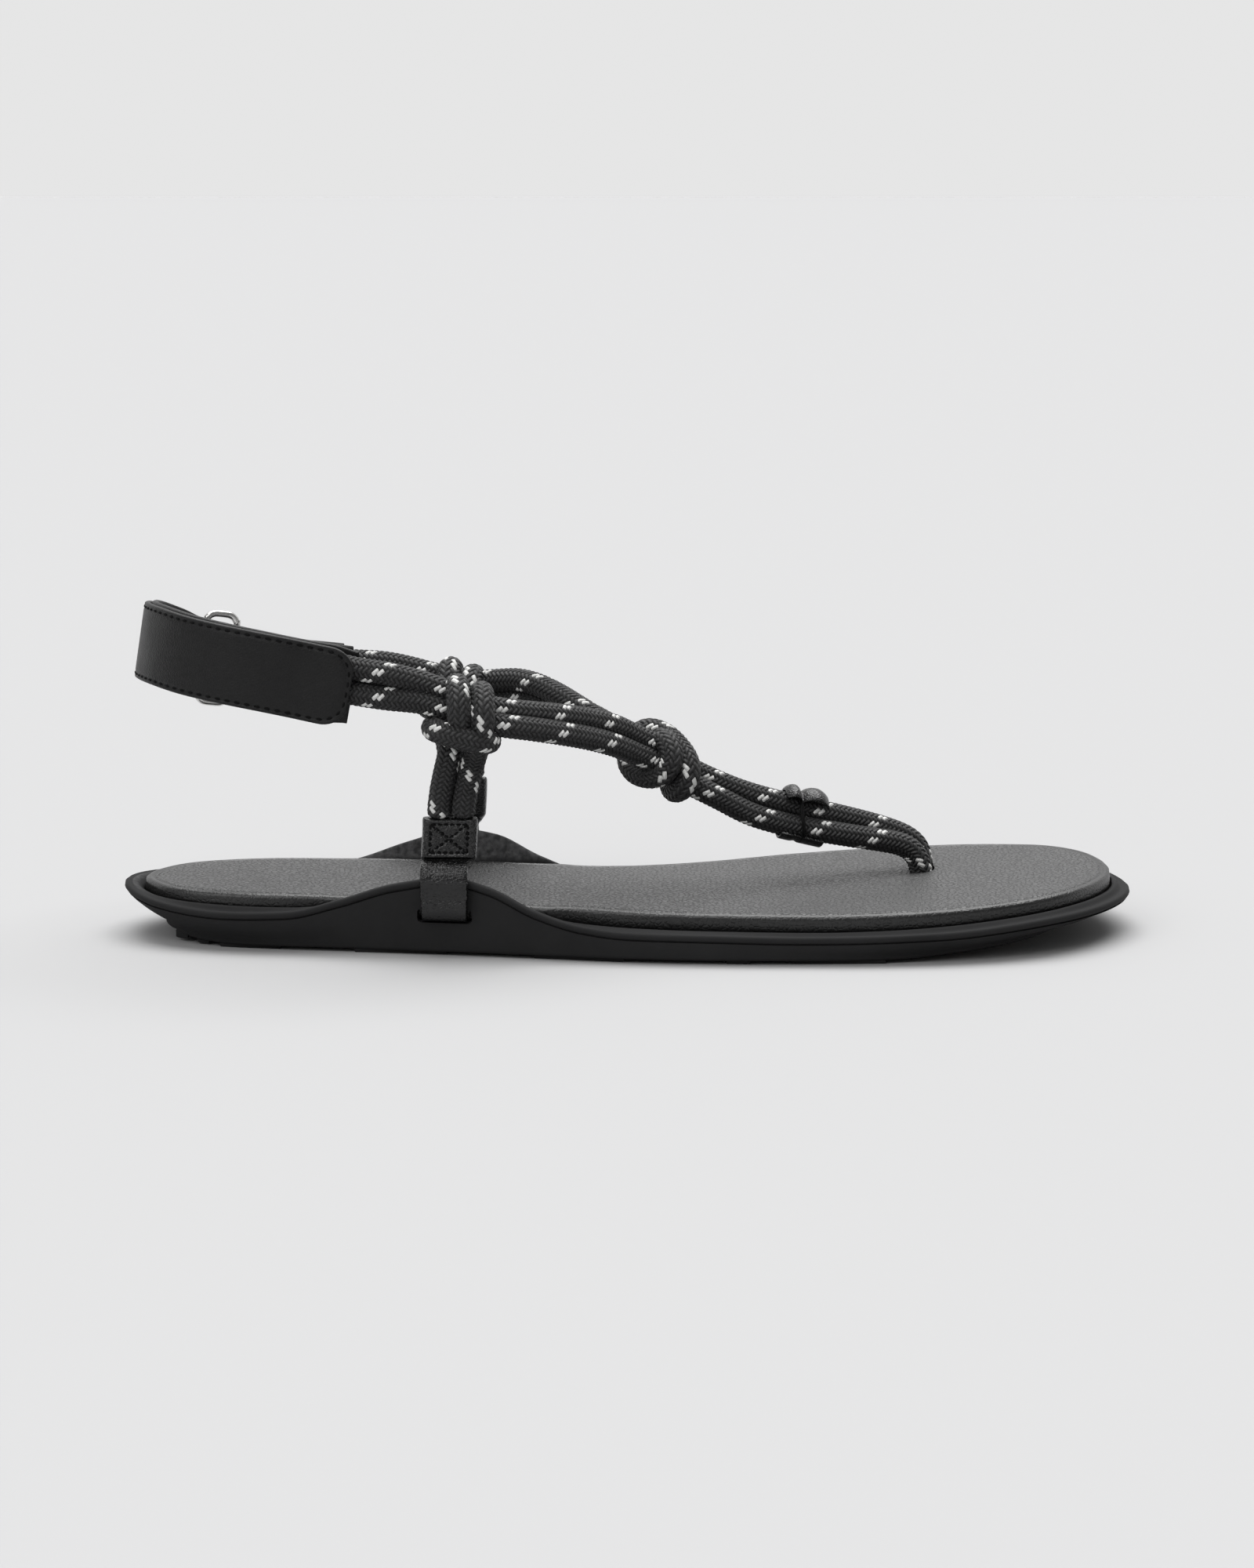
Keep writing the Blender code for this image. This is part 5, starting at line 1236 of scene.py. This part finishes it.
keeper_thread = joined(
    "keeper_thread", [round_loop("keeper_thread", route, KEEPER_THREAD_RADIUS) for route in thread_turns]
)
finish_piece(keeper_thread, THREAD_PAINT, "tab_leather")

# Heel strap: one band of smooth black leather, edge-stitched. It is sewn over the ends of the lateral
# ropes, goes round the heel, through the ring and back on itself, where its round end is pressed down.
STRAP_WIDTH = 19.0 * MM
STRAP_THICKNESS = 1.5 * MM
STRAP_LAYER_GAP = 0.35 * MM
STRAP_BACK_HEIGHT = 73.6 * MM
STRAP_LEAN = 9.0
STRAP_BASE_WIDTH = 17.8 * MM
STRAP_BASE_TAPER = 7.0 * MM
STRAP_END_SETBACK = 0.6 * MM
STRAP_END_RADIUS = 6.4 * MM
STRAP_STEP = 0.5 * MM
ROPE_END_SPREAD = 2.3 * MM
SPREAD_LENGTH = 15.0 * MM
SEAM_INSET = 1.15 * MM
SEAM_PITCH = 2.5 * MM
SEAM_TROUGH = 0.22 * MM
SEAM_TROUGH_WIDTH = 0.48 * MM
SEAM_STOP = 9 * MM
STRAP_STITCH = (1.75 * MM, 0.62 * MM, 0.16 * MM)
FOLD_OPENING = 9 * MM
FOLD_NARROWING = 12 * MM
LEAN_START = 85 * MM
LEAN_RUN = 30 * MM
INSIDE_STRAP = (-0.09, -0.003, 0)
RING_WIRE = 1.8 * MM
RING_HEIGHT = 24.6 * MM
RING_WIDTH = 10.4 * MM
RING_CORNER = 2.8 * MM
RING_TAB_WIDTH = 14.0 * MM
# Plan of the strap's middle line. Columns: x and y in millimetres, height as a share of the back's.
STRAP_LINE = (
    (-66.3, -31.3, 0.881), (-76.0, -32.2, 0.906), (-88.0, -31.6, 0.938), (-98.0, -29.0, 0.961),
    (-107.4, -23.6, 0.981), (-114.7, -15.6, 0.997), (-118.9, -7.0, 1.000), (-120.0, 0.5, 0.996),
    (-119.0, 6.6, 0.980), (-116.6, 12.6, 0.954), (-113.6, 17.8, 0.926), (-111.4, 20.6, 0.909),
)
RING_BACK = (-109.2, 22.4, 0.894)
RING_FORWARD = (0.885, 0.430, -0.145)
RING_TAB_LINE_END = (-72.6, 25.5, 61.5)


def strap_place(row):
    return np.array([row[0] * MM, row[1] * MM, row[2] * STRAP_BACK_HEIGHT])


ring_back = strap_place(RING_BACK)
ring_forward = unit(RING_FORWARD)
ring_side = unit((-ring_forward[1], ring_forward[0], 0))
ring_up = np.cross(ring_forward, ring_side)
fold_turn = RING_WIRE / 2 + CLEARANCE + STRAP_THICKNESS / 2
layer_offset = (STRAP_THICKNESS + STRAP_LAYER_GAP) / 2


def wire_fold(bar, start_way, through_way, parts=16):
    """Middle and outward ways of leather that turns half round a bar."""
    angles = np.linspace(0, math.pi, parts + 1)
    out = unit(np.outer(np.cos(angles), start_way) + np.outer(np.sin(angles), through_way))
    return bar + out * fold_turn, out


strap_route = [strap_place(row) / MM for row in STRAP_LINE]
strap_line = evenly(smooth_route(strap_route, STRAP_STEP, ease=2.0 * MM), STRAP_STEP)
strap_run = unit(np.gradient(strap_line, axis=0))
strap_out = unit(np.column_stack([strap_run[:, 1], -strap_run[:, 0], np.zeros(len(strap_run))]))
strap_out *= np.sign(((strap_line - INSIDE_STRAP) * strap_out).sum(axis=1))[:, None]
strap_up = np.cross(strap_run, strap_out)
strap_up *= np.sign(strap_up[:, 2])[:, None]
lean = np.radians(STRAP_LEAN) * np.clip((-strap_line[:, 0] - LEAN_START) / LEAN_RUN, 0, 1)[:, None]
strap_up = unit(strap_up * np.cos(lean) - strap_out * np.sin(lean))
travelled = lengths_along(strap_line)
to_bar = travelled[-1] + np.linalg.norm(ring_back - strap_line[-1]) - travelled
opening = eased_share(1 - to_bar / FOLD_OPENING)[:, None]
offset = layer_offset + (fold_turn - layer_offset) * opening
spread = ROPE_END_SPREAD * eased_share(1 - travelled / SPREAD_LENGTH)[:, None]
inner_middle = strap_line - strap_out * (offset + spread * 0.8)
outer_middle = strap_line + strap_out * (offset + spread)
base_share = eased_share(travelled / STRAP_BASE_TAPER)
inner_half = (STRAP_BASE_WIDTH + (STRAP_WIDTH * 1.02 - STRAP_BASE_WIDTH) * base_share) / 2
fold_middle, fold_out = wire_fold(ring_back, -ring_side, ring_forward)
fold_half = min(STRAP_WIDTH / 2, RING_HEIGHT / 2 - RING_WIRE - RING_CORNER * 0.4 - 0.5 * MM)
from_end = travelled - STRAP_END_SETBACK
kept = from_end >= 0
short_by = np.clip(1 - from_end / STRAP_END_RADIUS, 0, 1)
outer_half = STRAP_WIDTH / 2 - STRAP_END_RADIUS * (1 - np.sqrt(1 - short_by**2))
half_near_ring = eased_share(to_bar / FOLD_NARROWING)
inner_half = inner_half * half_near_ring + fold_half * (1 - half_near_ring)
outer_half = outer_half * half_near_ring + fold_half * (1 - half_near_ring)
# Middle, way out, way up and half width at each station: inner layer, fold round the bar, outer layer.
strap_stations = (
    np.vstack([inner_middle, fold_middle, outer_middle[kept][::-1]]),
    np.vstack([-strap_out, fold_out, strap_out[kept][::-1]]),
    np.vstack([strap_up, np.tile(ring_up, (len(fold_middle), 1)), strap_up[kept][::-1]]),
    np.concatenate([inner_half, np.full(len(fold_middle), fold_half), outer_half[kept][::-1]]),
)


# The seam's line in the band's own plane: along one edge, round the end and back along the other.
seam_length = float(from_end[-1]) - SEAM_STOP
seam_wide, seam_turn = STRAP_WIDTH / 2 - SEAM_INSET, STRAP_END_RADIUS - SEAM_INSET
seam_corners = [(seam_length, -seam_wide), (SEAM_INSET + seam_turn, -seam_wide)]
for way, quarter in ((-1, np.linspace(0, math.pi / 2, 9)), (1, np.linspace(math.pi / 2, 0, 9))):
    for a in quarter:
        across = way * (seam_wide - seam_turn * (1 - math.cos(a)))
        seam_corners.append((SEAM_INSET + seam_turn * (1 - math.sin(a)), across))
seam_corners.append((seam_length, seam_wide))
seam_line = evenly(np.column_stack([seam_corners, np.zeros(len(seam_corners))]), SEAM_PITCH)[:, :2]


def strap_relief(along, across, total):
    """The outer layer's seam trough: the thread draws the leather in along its edge."""
    back_from_end = total - along
    gap = np.full(along.shape, 1.0)
    for a, b in zip(seam_line, seam_line[1:]):
        close = (np.abs(back_from_end - (a[0] + b[0]) / 2) < SEAM_PITCH * 1.5)
        gap[close] = np.minimum(gap[close], near_line(back_from_end[close], across[close], a, b))
    return -SEAM_TROUGH * np.exp(-((gap / SEAM_TROUGH_WIDTH) ** 2))


edge_columns = np.linspace(-1, -0.74, 12)
edge_columns = np.concatenate([edge_columns, np.linspace(-0.7, 0.7, 15), np.linspace(0.74, 1, 12)])
strap = leather_band(
    "heel_strap_band",
    *strap_stations,
    STRAP_THICKNESS,
    face=edge_columns,
    round_share=0.75,
    relief=strap_relief,
)


def seam_on_layer(name, path, middle, outward, upward, lengths, lift):
    """Stitches laid along a path on a layer of the strap."""
    lines = []
    for a, b in zip(path, path[1:]):
        ends = []
        for along, across in (a, b):
            place, way_up, out = (
                np.array([np.interp(along, lengths, rows[:, axis]) for axis in range(3)])
                for rows in (middle, upward, outward)
            )
            ends.append((place + unit(way_up) * across + unit(out) * lift, unit(out)))
        lines.append(((ends[0][0] + ends[1][0]) / 2, ends[1][0] - ends[0][0], ends[0][1]))
    return stitches(name, lines, *STRAP_STITCH)


strap_seam = seam_on_layer(
    "heel_strap_seam",
    seam_line,
    outer_middle[kept],
    strap_out[kept],
    strap_up[kept],
    from_end[kept],
    STRAP_THICKNESS / 2 - 0.16 * MM,
)
STRAP_PAINT = leather_paint(
    "smooth_strap_leather",
    (0.0025, 0.0025, 0.0027),
    (0.0045, 0.0045, 0.0047),
    (0.38, 0.48),
    1500,
    0.00004,
    0.00005,
    specular=0.3,
)
finish_piece(strap, STRAP_PAINT, "strap_leather", "heel_strap")
finish_piece(strap_seam, THREAD_PAINT, "strap_leather")

# Ring tab: a strip of the strap's leather, doubled round the ring's front bar. Its two layers are sewn
# together along both edges, over the ends of the medial ropes.
tab_front = ring_back + ring_forward * (RING_WIDTH - RING_WIRE)
tab_end = np.array(RING_TAB_LINE_END) * MM
tab_share = np.linspace(0.02, 1, 80)[:, None]
tab_run = unit(tab_end - tab_front)
tab_rise = np.cross(tab_run, ring_side)
tab_rise *= np.sign(tab_rise[2])
tab_line = tab_front + (tab_end - tab_front) * tab_share + ring_side * np.sin(math.pi * tab_share) * 0.9 * MM
tab_offset = fold_turn + (layer_offset - fold_turn) * eased_share(tab_share / 0.28)
tab_offset = tab_offset + ROPE_END_SPREAD * eased_share((tab_share - 0.6) / 0.4)
tab_up = unit(ring_up * (1 - tab_share) + tab_rise * tab_share)
tab_sides = np.tile(ring_side, (len(tab_line), 1))
fold_middle, fold_out = wire_fold(tab_front, -ring_side, -ring_forward)
ring_tab = leather_band(
    "ring_tab_loop",
    np.vstack([(tab_line - ring_side * tab_offset)[::-1], fold_middle, tab_line + ring_side * tab_offset]),
    np.vstack([-tab_sides, fold_out, tab_sides]),
    np.vstack([tab_up[::-1], np.tile(ring_up, (len(fold_middle), 1)), tab_up]),
    RING_TAB_WIDTH / 2,
    STRAP_THICKNESS,
    face=np.linspace(-1, 1, 17),
    round_share=0.75,
)
tab_lengths = (tab_share * np.linalg.norm(tab_end - tab_front))[:, 0]
loop_seams = []
for way in (-1, 1):
    seam_across = way * (RING_TAB_WIDTH / 2 - SEAM_INSET)
    loop_path = [(length, seam_across) for length in np.arange(4 * MM, 31 * MM, SEAM_PITCH)]
    for face in (-1, 1):
        loop_seams.append(
            seam_on_layer(
                "ring_tab_seam",
                loop_path,
                tab_line + ring_side * tab_offset * face,
                tab_sides * face,
                tab_up,
                tab_lengths,
                STRAP_THICKNESS / 2,
            )
        )
finish_piece(ring_tab, STRAP_PAINT, "strap_leather", "ring_tab")
finish_piece(joined("ring_tab_seam", loop_seams), THREAD_PAINT, "strap_leather")

# Strap ring: an oval of round steel wire, bent and butted, with bright plating. The heel strap folds round
# its rear bar, and the ring tab holds its front bar.
ring_reach, ring_rise = (RING_WIDTH - RING_WIRE) / 2, (RING_HEIGHT - RING_WIRE) / 2
ring_middle = ring_back + ring_forward * ring_reach
ring_route = []
for corner, (ahead, above) in enumerate(((1, 1), (-1, 1), (-1, -1), (1, -1))):
    corner_middle = ring_middle + ring_forward * ahead * (ring_reach - RING_CORNER)
    corner_middle = corner_middle + ring_up * above * (ring_rise - RING_CORNER)
    for angle in np.radians(90 * corner + np.linspace(0, 90, 7)):
        ring_route.append(
            (corner_middle + (ring_forward * math.cos(angle) + ring_up * math.sin(angle)) * RING_CORNER) / MM
        )
wire = round_loop("strap_ring_wire", ring_route, RING_WIRE / 2)
ring_paint = Paint("bright_plating", metallic=1.0, base_color=(0.6, 0.595, 0.585, 1))
haze = ring_paint.noise(ring_paint.object_place(), 420, 3.0)
ring_paint.set(roughness=ring_paint.ramp(haze, (0.3, 0.14), (0.75, 0.26)))
finish_piece(wire, ring_paint, "ring", "strap_ring")
